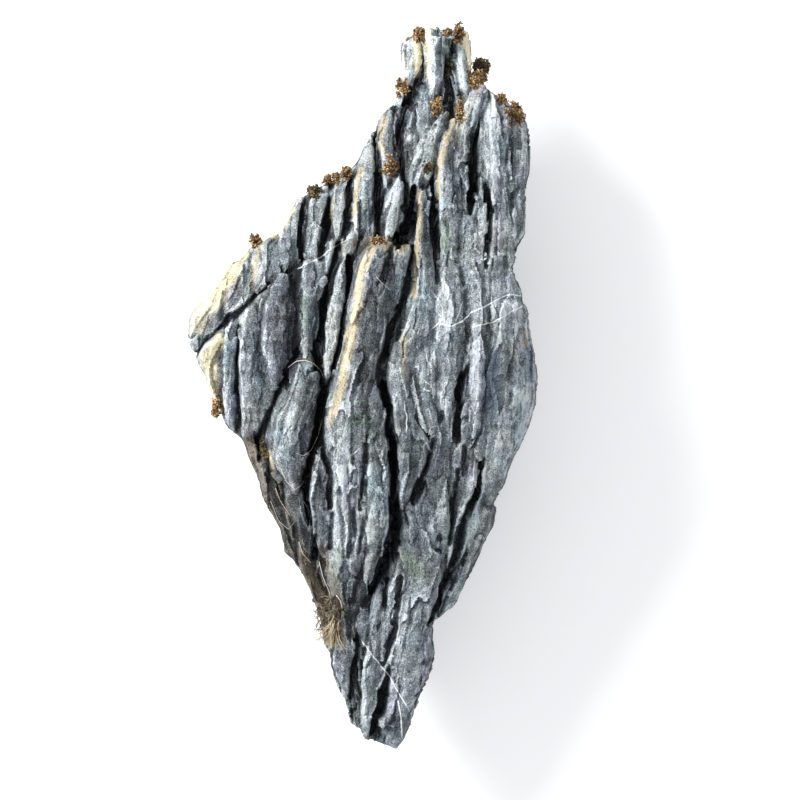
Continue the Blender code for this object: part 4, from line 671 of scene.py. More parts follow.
# The clefts are cut into a first, coarser skin, and a second one closes it round them.
FIRST_VOXEL = 0.85 * MM
SECOND_VOXEL = 0.68 * MM
SMOOTHING = 4                   # passes that take the steps off the second skin
shape_with(stone, "REMESH", mode="VOXEL", voxel_size=FIRST_VOXEL)
points = points_of(stone)
x, y = sheet_xy(points)
ragged = 1 + 0.3 * noise_at(x / 14, y / 22, 2) + 0.4 * noise_at(x / 12, y / 40, 12)     # of the width
x += CLEFT_WAVE * noise_at(x / 9, y / 15, 1) + CLEFT_JAG * noise_at(x / 3, y / 4, 3)
depth = np.zeros(len(points))
for deepest, route in CLEFTS:
    depth = np.maximum(depth, deepest * MM * cleft_share(x, y, ragged, route))
points[:, 2] -= depth * np.clip((points[:, 2] - MIDDLE) / CLEFT_FADE, 0, 1)
move_points(stone, points)
shape_with(stone, "REMESH", mode="VOXEL", voxel_size=SECOND_VOXEL)
shape_with(stone, "SMOOTH", factor=0.5, iterations=SMOOTHING)

GIRTH = 60.0                    # mm, the radius at which the grain of the back is laid out
GIRDLE_WIDTH = 14.0             # mm, from one grain number to the next there
GIRDLE_NUMBER = 300             # and the first of those numbers
FRONT_REACH = 6 * MM            # the grain of the face reaches this far under the outline's level


def shard_grain(points):
    """For each point its place in the grain of its shard: across it and along it in millimetres, a
    number that differs from shard to shard, and a place on its flanks, which is -1 at the left foot,
    0 on the crest and 1 at the right foot."""
    x, y = sheet_xy(points)
    spine = (along(SPINE, y) - SHEET_CENTRE[0]) * SQUARE
    across_mm = GIRTH * np.arctan2(MIDDLE - points[:, 2], points[:, 0] - spine)
    seed = GIRDLE_NUMBER + np.floor(across_mm / GIRDLE_WIDTH)
    highest = np.full(len(points), -1.0)
    flank = np.zeros(len(points))
    in_front = points[:, 2] > MIDDLE - FRONT_REACH
    for number, (rows, places, heights) in enumerate(shard_lines):
        here = np.flatnonzero(in_front & (y > rows[0]) & (y < rows[-1]))
        left, crest, right = (np.interp(y[here], rows, places[:, i]) for i in range(3))
        low_left, high, low_right = (np.interp(y[here], rows, heights[:, i]) for i in range(3))
        on_left = x[here] < crest
        side = np.where(on_left, crest - left, right - crest)
        part = abs(x[here] - crest) / side
        height = high + (np.where(on_left, low_left, low_right) - high) * part
        best = (part < 1) & (height > highest[here])
        here = here[best]
        highest[here] = height[best]
        across_mm[here] = (x[here] - crest[best]) * SQUARE / MM
        flank[here] = np.sign(across_mm[here]) * part[best]
        seed[here] = number
    return across_mm, -y * SQUARE / MM, seed, flank


def scatter(first, second, which):
    """A stray number between 0 and 1 for each pair of whole numbers, a different one for each which."""
    mix = np.sin(first * 127.1 + second * 311.7 + which * 74.7) * 43758.5453
    return mix - np.floor(mix)


PLATE_SIZES = ((9, 36), (4.5, 15))   # mm across and along the grain
PLATE_SLOPE = 0.22              # the steepest tilt across the grain
PLATE_PITCH = 0.05              # and along it
PLATE_STEP = 0.05               # of its width, by which one facet stands over another
PLATE_BEND = 0.3                # of its size, by which its border wavers


def flake_scars(a, b, seed, width, length):
    """Height and shade of the facets left where flakes have come off, each a tilted plane with a sharp
    border: the height is in millimetres, the shade between 0 and 1."""
    u = a / width + PLATE_BEND * noise_at(a / width * 2, b / length * 2, seed) + 13.7 * seed
    v = b / length + PLATE_BEND * noise_at(a / width * 2, b / length * 2, seed + 50) + 5.3 * seed
    nearest = np.full(len(u), 9.0)
    facet, shade = np.zeros(len(u)), np.zeros(len(u))
    for step_u in (-1, 0, 1):
        for step_v in (-1, 0, 1):
            cell_u, cell_v = np.floor(u) + step_u, np.floor(v) + step_v
            off_u = u - cell_u - 0.1 - 0.8 * scatter(cell_u, cell_v, 1)
            off_v = v - cell_v - 0.1 - 0.8 * scatter(cell_u, cell_v, 2)
            tilt_u = PLATE_SLOPE * width * (2 * scatter(cell_u, cell_v, 3) - 1)
            tilt_v = PLATE_PITCH * length * (2 * scatter(cell_u, cell_v, 4) - 1)
            lift = PLATE_STEP * width * (2 * scatter(cell_u, cell_v, 5) - 1)
            away = off_u ** 2 + off_v ** 2
            facet = np.where(away < nearest, tilt_u * off_u + tilt_v * off_v + lift, facet)
            shade = np.where(away < nearest, scatter(cell_u, cell_v, 6), shade)
            nearest = np.minimum(nearest, away)
    return facet, shade


OUTLINE_EASE = 2.5              # sheet squares inside the outline, where the drawing in starts
OUTLINE_PULL = 0.55             # and the part of what is left beyond that is taken off
NOTCH_LENGTH = 9                # sheet squares, the teeth that broken leaves leave in the outline
NOTCH_DEPTH = 4.0
NOTCH_REACH = 9                 # inside the outline
NOTCH_STRAY = 1.8               # of a notch's length
NOTCH_LEVEL = 4 * MM            # above MIDDLE, where the notches are deepest
NOTCH_SPAN = 8 * MM             # they weaken over this height above and below
GRAIN_WIDTH = 5.5 * MM          # the lengthwise flutes
GRAIN_LENGTH = 38 * MM
GRAIN_LEAN = 0.2                # the flutes lean this much to the right on their way up
GRAIN_DEPTH = 0.28              # mm
GRAIN_LEVEL = 0.2               # of the depth, by which the flutes stand out of the rock
GRAIN_SHARPNESS = 2             # the noise is folded, so that the flutes meet in sharp valleys
GRAIN_FINER = 2.3               # finer flutes lie on the broad ones, this many times as close
GRAIN_FINER_SHARE = 0.5
LEDGE_WIDTH = 3.4               # mm, the thin leaves that the rock splits into
LEDGE_LENGTH = 20.0
LEDGE_DEPTH = 0.14
LEDGE_LEVEL = 0.6               # of a leaf's depth that lies in the rock
LEDGE_STRAY = 1.1               # of a leaf's width
SWELLING = 0.7                  # mm, the soft swellings of a shard's face
SWELLING_SIZE = (7, 24)         # mm across and along the grain
ROUGHNESS = ((0.07, 1.4 * MM), (1.6 * 0.07, 3.1 * MM))   # depth in mm and size of the grit

points = points_of(stone)
flute_places = ((points[:, 0] - GRAIN_LEAN * points[:, 1]) / GRAIN_WIDTH, points[:, 1] / GRAIN_LENGTH,
                points[:, 2] / GRAIN_WIDTH)
finer = GRAIN_FINER_SHARE * noise_at(*[GRAIN_FINER * place for place in flute_places])
rise = GRAIN_DEPTH * (GRAIN_LEVEL - GRAIN_SHARPNESS * abs(noise_at(*flute_places)) + finer)
a, b, seed, _ = shard_grain(points)
rise += SWELLING * noise_at(a / SWELLING_SIZE[0], b / SWELLING_SIZE[1], 2.3 * seed)
broad, narrow = (flake_scars(a, b, seed, *size)[0] for size in PLATE_SIZES)
rise += broad + narrow
leaf = a / LEDGE_WIDTH + LEDGE_STRAY * noise_at(a / 6, b / LEDGE_LENGTH, 1.7 * seed) + 0.37 * seed
number = np.floor(leaf)
strength = np.clip(2.2 * noise_at(3.1 * number, b / LEDGE_LENGTH, 1.7 * seed), 0, 1)
rise += LEDGE_DEPTH * strength * (leaf - number - LEDGE_LEVEL)
for depth, size in ROUGHNESS:
    rise += depth * noise_at(*(points.T / size))
points += normals_of(stone) * (rise * MM)[:, None]
x, y = sheet_xy(points)
spine, edge = spine_and_edge(x, y)
reach = abs(edge - spine)
excess = np.maximum(0, abs(x - spine) - reach + OUTLINE_EASE)
teeth = (y / NOTCH_LENGTH + NOTCH_STRAY * noise_at(y / 26, points[:, 2] / (9 * MM), 41)) % 1
ragged = np.clip(0.5 + 1.4 * noise_at(y / 30, np.sign(x - spine), 43), 0, 1)
near = np.clip((abs(x - spine) - reach) / NOTCH_REACH + 1, 0, 1)
off_level = abs(points[:, 2] - MIDDLE - NOTCH_LEVEL) / NOTCH_SPAN
near *= 0.5 + 0.5 * np.clip(1.3 - off_level, 0, 1)
inward = excess * OUTLINE_PULL + NOTCH_DEPTH * teeth * ragged * near
points[:, 0] -= np.sign(x - spine) * inward * SQUARE
move_points(stone, points)

# The mesh is thinned, the back more than the broad face.
STONE_TRIANGLES = 192000
BACK_THINNING = 1.0
FACE_THINNING = 0.25
THINNING_STEPS = 4
THINNING_SPAN = 4 * MM          # above and below MIDDLE, over which one goes over into the other
facing = np.clip((points[:, 2] - MIDDLE + THINNING_SPAN) / (2 * THINNING_SPAN), 0, 1)
weights = BACK_THINNING + (FACE_THINNING - BACK_THINNING) * facing
levels = np.round(weights * THINNING_STEPS) / THINNING_STEPS
group = stone.vertex_groups.new(name="thinning")
for level in np.unique(levels):
    group.add(np.flatnonzero(levels == level).tolist(), float(level), "REPLACE")
shape_with(stone, "DECIMATE", ratio=STONE_TRIANGLES / (2 * len(stone.data.polygons)),
           vertex_group="thinning", vertex_group_factor=1.0)
stone.vertex_groups.clear()

mesh = bmesh.new()
mesh.from_mesh(stone.data)
bmesh.ops.bisect_plane(mesh, geom=list(mesh.verts) + list(mesh.edges) + list(mesh.faces),
                       plane_co=(0, 0, 0), plane_no=(0, 0, -1), clear_outer=True)
bmesh.ops.holes_fill(mesh, edges=[edge for edge in mesh.edges if edge.is_boundary], sides=0)
bmesh.ops.triangulate(mesh, faces=list(mesh.faces))
mesh.to_mesh(stone.data)
mesh.free()
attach(stone, "root")
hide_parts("stone")

# ---------------------------------------------------------------- the colours of the stone
# For each tint its strokes: a strength, and a route as sheet x, y and width.
STROKES = {
    "ochre": (  # the left edges of the shards: partly ochre weathering, partly painted light
        (0.85, ((372, 252, 10), (364, 268, 10), (360, 290, 10), (357, 320, 11), (351, 345, 12),
            (345, 380, 12), (338, 402, 9), (331, 425, 6))),
        (0.6, ((404, 338, 8), (403, 358, 8), (405, 374, 6))),
        (0.8, ((419, 196, 6), (419, 240, 6), (414, 270, 6), (414, 300, 6))),
        (0.7, ((385, 116, 7), (381, 135, 8), (382, 152, 6))),
        (0.8, ((361, 172, 6), (357, 190, 7), (355, 215, 6))),
        (0.6, ((334, 200, 5), (332, 222, 5))),
        (0.8, ((453, 124, 6), (446, 142, 6), (438, 172, 6), (438, 200, 5))),
        (0.5, ((482, 85, 6), (472, 105, 6), (460, 128, 6), (449, 150, 6))),
        (0.6, ((407, 84, 8), (404, 96, 8))),
        (0.7, ((462, 100, 7), (455, 120, 8), (448, 136, 8))),
        (0.6, ((386, 248, 14), (400, 252, 14))),
        (0.5, ((238, 275, 16), (220, 300, 20), (205, 325, 16))),
        (0.6, ((260, 246, 10), (258, 270, 9), (254, 290, 7))),
        (0.5, ((522, 334, 8), (524, 346, 8))),
        (0.6, ((214, 397, 8), (220, 412, 9))),
        (0.5, ((308, 560, 8), (318, 584, 9), (326, 606, 12), (330, 640, 14))),
    ),
    "cream": (  # bleached rock on the crown and the wing, partly painted light on left edges
        (0.4, ((366, 258, 6), (358, 300, 6), (350, 340, 7), (344, 375, 7))),
        (0.8, ((417, 34, 9), (419, 52, 8), (418, 78, 6))),
        (0.8, ((428, 34, 8), (429, 60, 5), (428, 80, 5))),
        (0.5, ((402, 60, 6), (403, 76, 6))),
        (0.9, ((462, 34, 12), (468, 52, 9), (470, 70, 5))),
        (0.9, ((292, 200, 10), (284, 222, 12), (276, 234, 12))),
        (0.9, ((244, 252, 12), (236, 266, 18), (226, 280, 20), (212, 300, 22))),
        (0.5, ((204, 310, 20), (198, 330, 16))),
        (0.8, ((222, 340, 14), (212, 358, 18), (215, 385, 14), (222, 408, 10))),
        (0.6, ((272, 452, 6), (274, 464, 6))),
    ),
    "white": (  # lime bloom
        (0.7, ((352, 366, 9), (355, 390, 12), (352, 412, 12))),
        (0.5, ((345, 446, 10), (348, 466, 8), (347, 478, 6))),
        (0.6, ((340, 495, 4), (345, 508, 5), (348, 533, 3))),
        (0.5, ((324, 506, 8), (334, 520, 8), (328, 542, 8))),
        (0.6, ((448, 290, 12), (447, 320, 14), (446, 345, 12))),
        (0.7, ((467, 343, 6), (467, 376, 6))),
        (0.6, ((476, 330, 10), (475, 365, 12), (474, 400, 10))),
        (0.6, ((470, 478, 8), (468, 496, 6))),
        (0.8, ((463, 505, 3), (456, 530, 3), (449, 555, 3))),
        (0.7, ((430, 515, 6), (431, 536, 6))),
        (0.8, ((427, 583, 5), (421, 593, 5))),
        (0.6, ((412, 380, 3), (412, 393, 3))),
        (0.6, ((475, 540, 5), (476, 547, 5))),
        (0.6, ((528, 385, 8), (522, 415, 10), (516, 440, 8))),
        (0.6, ((367, 690, 10), (366, 720, 8))),
        (0.7, ((390, 515, 5), (384, 548, 5), (371, 588, 4))),
        (0.5, ((300, 375, 10), (296, 400, 12), (292, 430, 12))),
        (0.5, ((490, 100, 10), (492, 140, 14), (490, 180, 12))),
    ),
    "green": (  # where water stands
        (0.6, ((355, 420, 16), (372, 424, 14))),
        (0.6, ((408, 552, 14), (416, 570, 14))),
        (0.6, ((306, 300, 10), (306, 325, 10))),
        (0.8, ((449, 46, 8), (452, 65, 8))),
        (0.6, ((444, 226, 10), (445, 248, 10))),
        (0.5, ((505, 250, 8), (506, 276, 8))),
        (0.5, ((449, 485, 8), (448, 540, 8))),
        (0.5, ((340, 548, 14), (336, 600, 14))),
    ),
    "blue": (
        (0.7, ((492, 355, 16), (490, 385, 20), (490, 410, 16))),
        (0.7, ((528, 350, 14), (528, 380, 14))),
        (0.5, ((258, 336, 10), (260, 375, 12))),
        (0.5, ((236, 338, 8), (236, 408, 8))),
    ),
    "purple": (
        (0.7, ((299, 292, 9), (298, 330, 9), (295, 368, 8))),
        (0.6, ((496, 182, 12), (498, 215, 14), (498, 245, 10))),
        (0.6, ((410, 82, 12), (410, 110, 12))),
        (0.6, ((364, 546, 12), (360, 575, 12), (356, 600, 10))),
    ),
    "dirt": (  # earth and rust, low on the left and in the deep recesses
        (0.9, ((250, 440, 12), (262, 490, 18), (280, 540, 20), (300, 592, 18), (318, 645, 12))),
        (0.6, ((262, 445, 18), (276, 490, 22), (296, 545, 26), (312, 600, 24))),
        (1.0, ((302, 552, 16), (314, 578, 20), (326, 604, 26), (334, 636, 24))),
        (0.7, ((322, 548, 16), (330, 575, 16), (338, 606, 18))),
        (0.6, ((340, 250, 16), (372, 244, 20), (404, 246, 14))),
        (0.5, ((322, 362, 10), (324, 388, 12), (318, 420, 14), (310, 470, 12))),
    ),
    "pale": (  # partly where the rock is washed pale, partly painted light
        (0.9, ((412, 40, 24), (412, 80, 20))),
        (1.1, ((436, 34, 24), (436, 80, 20))),
        (1.1, ((464, 34, 24), (465, 80, 18))),
        (0.8, ((492, 98, 24), (496, 125, 24))),
        (0.7, ((378, 122, 14), (374, 160, 20))),
        (0.8, ((345, 200, 14), (344, 228, 14))),
        (0.5, ((492, 175, 22), (494, 200, 16))),
        (0.5, ((264, 262, 18), (262, 290, 14))),
        (0.8, ((288, 416, 22), (286, 440, 22))),
        (0.6, ((430, 136, 20), (424, 172, 20))),
        (1.3, ((500, 235, 30), (500, 270, 38), (500, 300, 40), (506, 322, 30))),
        (0.7, ((440, 262, 28), (444, 300, 30), (440, 345, 30), (440, 400, 24))),
        (1.1, ((524, 325, 26), (527, 370, 26), (524, 412, 24), (500, 440, 28), (480, 478, 20))),
        (0.9, ((350, 405, 24), (350, 440, 26))),
        (1.0, ((350, 465, 28), (350, 510, 30), (350, 555, 24))),
        (1.0, ((377, 470, 26), (376, 530, 26))),
        (0.5, ((412, 610, 34), (412, 660, 34), (408, 700, 30))),
    ),
    "dark": (  # and where it is darker: partly the rock's own tone, partly painted shade
        (1.0, ((352, 262, 12), (344, 280, 16), (340, 300, 12))),
        (0.9, ((386, 262, 16), (378, 300, 26), (374, 340, 30), (370, 380, 34), (372, 412, 26))),
        (0.8, ((320, 205, 22), (316, 240, 26), (298, 262, 44), (292, 300, 40), (288, 330, 30))),
        (0.9, ((290, 345, 24), (290, 394, 26))),
        (0.7, ((231, 330, 12), (229, 395, 14))),
        (1.2, ((314, 385, 18), (313, 415, 22), (310, 450, 22), (306, 480, 16))),
        (1.2, ((322, 452, 18), (320, 480, 26), (320, 520, 22), (322, 548, 14))),
        (0.85, ((256, 440, 18), (266, 474, 26), (282, 520, 34), (298, 565, 32), (320, 604, 26))),
        (0.8, ((350, 592, 26), (346, 615, 20))),
        (0.9, ((386, 538, 24), (378, 575, 24), (370, 600, 16))),
        (0.6, ((466, 380, 14), (468, 400, 12))),
        (0.8, ((470, 145, 18), (466, 185, 22), (462, 215, 26), (460, 250, 18))),
        (0.7, ((460, 378, 14), (456, 430, 14))),
        (0.9, ((404, 425, 16), (403, 485, 24), (408, 535, 26), (418, 552, 20))),
        (0.4, ((396, 268, 16), (400, 300, 14))),
    ),
}
# Hair-thin veins of calcite: a strength, and a route as sheet x and y.
VEINS = (
    (0.9, ((432, 330), (438, 325), (450, 328), (461, 323), (470, 314), (484, 308), (500, 299),
        (507, 296), (520, 297))),
    (0.8, ((472, 328), (490, 324), (500, 319), (510, 313), (520, 308))),
    (0.5, ((434, 296), (442, 310), (441, 326))),
    (0.5, ((455, 322), (461, 305))),
    (0.9, ((363, 640), (372, 652), (381, 663), (390, 675), (400, 693), (408, 706))),
    (0.8, ((398, 698), (401, 715), (402, 735))),
    (0.6, ((404, 405), (407, 418), (406, 430))),
    (0.5, ((424, 381), (430, 385), (430, 392), (425, 390))),
    (0.5, ((300, 270), (318, 262), (338, 247), (352, 240))),
    (0.4, ((346, 470), (350, 455), (358, 450))),
)
VEIN_REACH = 2.5                # mm each side over which a vein's distance is known
STROKE_WAVE = 2.5               # sheet squares by which a stroke's edges waver across the sheet
STROKE_LENGTHWISE = 4           # and along it
WALL_WAVE = 14                  # and along it again, low on the walls
WALL_HEIGHT = 12 * MM
CREST_FINE = (4, 0.35 * MM)     # passes of smoothing, and the height over the smoothed skin that
CREST_BROAD = (30, 1.6 * MM)    # makes a full crest
HOLLOW_DEPTH = 8 * MM           # under the face's dome, where a hollow's painted shade is darkest
BACK_HOLLOW = 0.7               # the painted shade of the back, as of such a hollow


def stroke_share(x, y, route):
    """1 along the middle of a stroke, falling softly to 0 at its edges and a little beyond."""
    share = np.zeros(len(x))
    for start, end, part, away, _ in beside(x, y, route):
        half = 0.5 * (start[2] + part * (end[2] - start[2]))
        share = np.maximum(share, np.clip(1.5 - away / half, 0, 1))
    return share


def vein_distance(x, y, route):
    """Signed distance in millimetres from a vein, and 1 near it falling to 0 at its reach."""
    nearest = np.full(len(x), 1e3)
    signed = np.full(len(x), 1e3)
    for _, _, _, away, side in beside(x, y, route):
        away = away * SQUARE / MM
        closer = away < nearest
        nearest = np.where(closer, away, nearest)
        signed = np.where(closer, away * np.sign(side), signed)
    return signed, np.clip(1.3 * (1 - nearest / VEIN_REACH), 0, 1)


def smoothed(points, edges, times):
    """The points after each has moved this many times to the mean of its neighbours."""
    count = len(points)
    valence = np.maximum(np.bincount(edges.ravel(), minlength=count), 1)[:, None]
    for _ in range(times):
        points = np.stack([np.bincount(edges[:, 0], points[edges[:, 1], i], count)
                           + np.bincount(edges[:, 1], points[edges[:, 0], i], count)
                           for i in range(3)], axis=1) / valence
    return points


def store(obj, name, values):
    """Keeps one value or one triple for each point of obj, for its material to read."""
    kind, field = ("FLOAT_VECTOR", "vector") if values.ndim == 2 else ("FLOAT", "value")
    attribute = obj.data.attributes.new(name, kind, "POINT")
    attribute.data.foreach_set(field, values.astype(np.float32).ravel())


def crest_height(passes, full):
    """How far the skin stands over the same skin smoothed, as a part of full."""
    return np.sum((points - smoothed(points, edges, passes)) * normals, axis=1) / full


points = points_of(stone)
normals = normals_of(stone)
edges = np.empty(len(stone.data.edges) * 2, np.int32)
stone.data.edges.foreach_get("vertices", edges)
edges = edges.reshape(-1, 2)
x, y = sheet_xy(points)
# The strokes have ragged edges, more so on the walls, and die out unevenly under the outline's level.
wall = np.clip(1 - (points[:, 2] - MIDDLE) / WALL_HEIGHT, 0, 1)
x_wavy = x + STROKE_WAVE * noise_at(x / 7, y / 9, 5)
y_wavy = y + (STROKE_LENGTHWISE + WALL_WAVE * wall) * noise_at(x / 9, y / 12, 6 + wall)
under = np.clip((MIDDLE + 2 * MM - points[:, 2]) / (4 * MM), 0, 1)
under *= 1.5 * noise_at(y / 20, points[:, 2] / (9 * MM), 44)
front = np.clip((points[:, 2] - MIDDLE) / CLEFT_FADE + 0.6 + under, 0, 1)
for tint, strokes in STROKES.items():
    share = np.zeros(len(points))
    for strength, route in strokes:
        share = np.maximum(share, strength * stroke_share(x_wavy, y_wavy, route))
    store(stone, tint, share * front)
x_wavy, y_wavy = (value + 0.8 * noise_at(x / 4, y / 4, seed) for value, seed in ((x, 8), (y, 9)))
for group in (0, 1):            # veins that lie near each other are kept apart
    signed, presence = np.zeros(len(points)), np.zeros(len(points))
    for strength, route in VEINS[group::2]:
        distance, near = vein_distance(x_wavy, y_wavy, route)
        signed = np.where(near * strength > presence, distance, signed)
        presence = np.maximum(presence, near * strength)
    store(stone, f"vein_{group}", np.stack((signed, presence * front, 0 * signed), axis=1))
# How far the skin stands out, for paler crests and darker grooves: partly painted highlight and shade.
store(stone, "crest_fine", crest_height(*CREST_FINE))
store(stone, "crest_broad", crest_height(*CREST_BROAD))
a, b, seed, flank = shard_grain(points)
# For painted light on each shard's left flank and painted shade on its right flank.
store(stone, "flank", flank)
store(stone, "grain", np.stack((a, b, seed), axis=1))
shades = [flake_scars(a, b, seed, *size)[1] for size in PLATE_SIZES]
# Painted shade: the deeper under the dome of the face, the darker, and the whole back darker too.
hollow_shade = np.clip((MIDDLE + face_height(x, y) - points[:, 2]) / HOLLOW_DEPTH, 0, 1)
behind = np.clip((MIDDLE - points[:, 2]) / HOLLOW_DEPTH, 0, 1)
hollow_shade = hollow_shade + (BACK_HOLLOW - hollow_shade) * behind
store(stone, "plates_and_hollow_shade", np.stack((*shades, hollow_shade), axis=1))


def add_node(tree, kind, inputs, **settings):
    """Adds a node to a material. An input is a value, or the output of another node."""
    made = tree.nodes.new("ShaderNode" + kind)
    for name, value in settings.items():
        setattr(made, name, value)
    for name, value in inputs.items():
        if isinstance(value, bpy.types.NodeSocket):
            tree.links.new(value, made.inputs[name])
        else:
            made.inputs[name].default_value = value
    return made


def stored(tree, name, output="Fac"):
    """A value, or with the output Vector a triple, that store has kept on the mesh."""
    return add_node(tree, "Attribute", {}, attribute_name=name).outputs[output]


def combine(tree, operation, first, second):
    return add_node(tree, "Math", {0: first, 1: second}, operation=operation).outputs[0]


def total(tree, first, *others):
    for other in others:
        first = combine(tree, "ADD", first, other)
    return first


def product(tree, first, *others):
    for other in others:
        first = combine(tree, "MULTIPLY", first, other)
    return first


def spread(tree, value, low, high, to_low=0.0, to_high=1.0):
    """Carries low..high over to to_low..to_high, and holds it within them."""
    inputs = {"Value": value, "From Min": low, "From Max": high, "To Min": to_low, "To Max": to_high}
    return add_node(tree, "MapRange", inputs, interpolation_type="SMOOTHSTEP").outputs[0]


def mixed(tree, share, under, over, way="MIX"):
    """Colour over laid on colour under by share."""
    inputs = {0: share, 6: under, 7: over}      # the colour sockets of a Mix node
    return add_node(tree, "Mix", inputs, data_type="RGBA", blend_type=way).outputs[2]


def scaled(tree, vector, scale):
    return add_node(tree, "Mapping", {"Vector": vector, "Scale": scale}).outputs[0]


def noise_value(tree, vector, scale, detail=4.0, roughness=0.6):
    inputs = {"Vector": vector, "Scale": scale, "Detail": detail, "Roughness": roughness}
    return add_node(tree, "TexNoise", inputs).outputs["Fac"]


def cells(tree, vector, scale, feature):
    inputs = {"Vector": vector, "Scale": scale}
    return add_node(tree, "TexVoronoi", inputs, feature=feature).outputs["Distance"]


def parted(tree, vector):
    """The three values of a vector."""
    return add_node(tree, "SeparateXYZ", {"Vector": vector}).outputs


def new_material(name, **inputs):
    """A material with these inputs of its shader set, and its node tree and shader."""
    material = bpy.data.materials.new(name)
    material.use_nodes = True
    shader = material.node_tree.nodes["Principled BSDF"]
    for key, value in inputs.items():
        shader.inputs[key.replace("_", " ")].default_value = value
    return material, material.node_tree, shader


def feed(tree, shader, colour, relief=None, strength=1.0, depth=0.0):
    """Gives the shader its colour, and a relief of this depth in metres."""
    tree.links.new(colour, shader.inputs["Base Color"])
    if relief is not None:
        bump = add_node(tree, "Bump", {"Height": relief, "Strength": strength, "Distance": depth})
        tree.links.new(bump.outputs[0], shader.inputs["Normal"])


def rgb(red, green, blue):
    """A screen colour of 0 to 255 as the linear colour that a shader takes."""
    return tuple((c / 255) ** 2.2 for c in (red, green, blue)) + (1.0,)


MID_TONE = 0.51
# The pale and dark strokes are partly painted light and painted shade.
STROKE_TONE = 0.19              # how much paler or darker a pale or a dark stroke makes the rock
TONE_COLOURS = ((26, 28, 30), (64, 69, 73), (103, 110, 115), (142, 151, 156), (208, 215, 218))
# Fine dark cracks and pale seams: size in the grain, where they are, and what they add to the tone.
HAIRLINES = (((0.34, 0.055, 1.7), 0.5, 0.6, -0.3), ((0.9, 0.22, 1.7), 0.54, 0.64, -0.2),
             ((0.5, 0.3, 1.7), 0.56, 0.64, 0.24))
# The colour of each tint where the rock under it is darkest and where it is palest.
TINT_COLOURS = (("purple", (40, 38, 46), (112, 110, 124)), ("blue", (28, 38, 48), (92, 108, 126)),
                ("green", (30, 40, 32), (120, 142, 122)), ("dirt", (34, 27, 20), (118, 106, 88)),
                ("ochre", (88, 80, 66), (192, 178, 148)), ("cream", (140, 130, 104), (244, 234, 196)),
                ("white", (104, 112, 120), (216, 224, 230)))
VEIN_COLOUR = rgb(244, 247, 248)
rock, tree, shader = new_material("weathered_limestone", Roughness=0.8, Specular_IOR_Level=0.35)
place = add_node(tree, "TexCoord", {}).outputs["Object"]
flattened = scaled(tree, place, (1, 0.7, 1))
grain = stored(tree, "grain", "Vector")
crest_fine = stored(tree, "crest_fine")
streak = noise_value(tree, scaled(tree, grain, (0.7, 0.1, 1.7)), 1.0)
fibre = noise_value(tree, scaled(tree, grain, (2.6, 0.35, 2.3)), 1.0)
speckle = noise_value(tree, place, 1500, 2, 0.75)
blotch = noise_value(tree, flattened, 170, 3)
fleck = noise_value(tree, flattened, 480, 4, 0.7)
shard = add_node(tree, "TexWhiteNoise", {"W": parted(tree, grain)[2]}, noise_dimensions="1D").outputs[0]
plate_broad, plate_narrow, hollow_shade = parted(tree, stored(tree, "plates_and_hollow_shade", "Vector"))
# What shades the rock: a value, its range, and what it adds to the tone at the ends of that range.
# Painted light and shade among them: the crest terms make crests paler and grooves darker, partly as
# the rock's own pale crests, partly as painted highlight and painted shade; the sharpest crests get a
# thin painted highlight; the hollow term is painted shade; and the flank term paints light on each
# shard's left flank and shade on its right flank.
shades = ((streak, 0.3, 0.7, -0.06, 0.06), (fleck, 0.3, 0.7, -0.04, 0.04),
          (crest_fine, -1.4, 1.4, -0.1, 0.12), (stored(tree, "crest_broad"), -1.5, 1.5, -0.12, 0.09),
          (speckle, 0.3, 0.7, -0.24, 0.24), (blotch, 0.3, 0.7, -0.08, 0.08), (shard, 0, 1, -0.06, 0.06),
          (plate_broad, 0, 1, -0.1, 0.1), (plate_narrow, 0, 1, -0.06, 0.06),
          (hollow_shade, 0.2, 0.9, 0.06, -0.2), (crest_fine, 0.6, 1.8, 0, 0.14),
          (stored(tree, "flank"), -0.8, 0.9, 0.05, -0.12))
tone = total(tree, *(spread(tree, *shade) for shade in shades),
             product(tree, stored(tree, "pale"), STROKE_TONE),
             product(tree, stored(tree, "dark"), -STROKE_TONE), MID_TONE)
bent = product(tree, combine(tree, "SUBTRACT", fibre, 0.5), 0.5)
for size, low, high, shift in HAIRLINES:
    crazed = add_node(tree, "VectorMath", {0: scaled(tree, grain, size), 1: bent}, operation="ADD")
    edge = cells(tree, crazed.outputs[0], 1.0, "DISTANCE_TO_EDGE")
    here = spread(tree, noise_value(tree, flattened, 150 + 900 * abs(shift), 2), low, high)
    tone = total(tree, tone, product(tree, spread(tree, edge, 0.015, 0.06, 1, 0), here, shift))
ramp = add_node(tree, "ValToRGB", {"Fac": tone})
while len(ramp.color_ramp.elements) < len(TONE_COLOURS):
    ramp.color_ramp.elements.new(0.5)
for number, (element, tone_colour) in enumerate(zip(ramp.color_ramp.elements, TONE_COLOURS)):
    element.position = number / (len(TONE_COLOURS) - 1)
    element.color = rgb(*tone_colour)
colour = ramp.outputs["Color"]
warmth = noise_value(tree, place, 38, 3)
colour = mixed(tree, spread(tree, warmth, 0.45, 0.65, 0, 0.6), colour, rgb(236, 228, 216), "MULTIPLY")
damp = noise_value(tree, scaled(tree, place, (1.6, 0.8, 1.6)), 46, 3)
colour = mixed(tree, spread(tree, damp, 0.52, 0.66, 0, 0.9), colour, rgb(228, 241, 246), "MULTIPLY")
colour = mixed(tree, spread(tree, damp, 0.34, 0.46, 0.9, 0), colour, rgb(238, 232, 248), "MULTIPLY")
ragged = total(tree, spread(tree, fleck, 0.3, 0.7, 0.7, 1.3), spread(tree, streak, 0.3, 0.7, -0.2, 0.2))
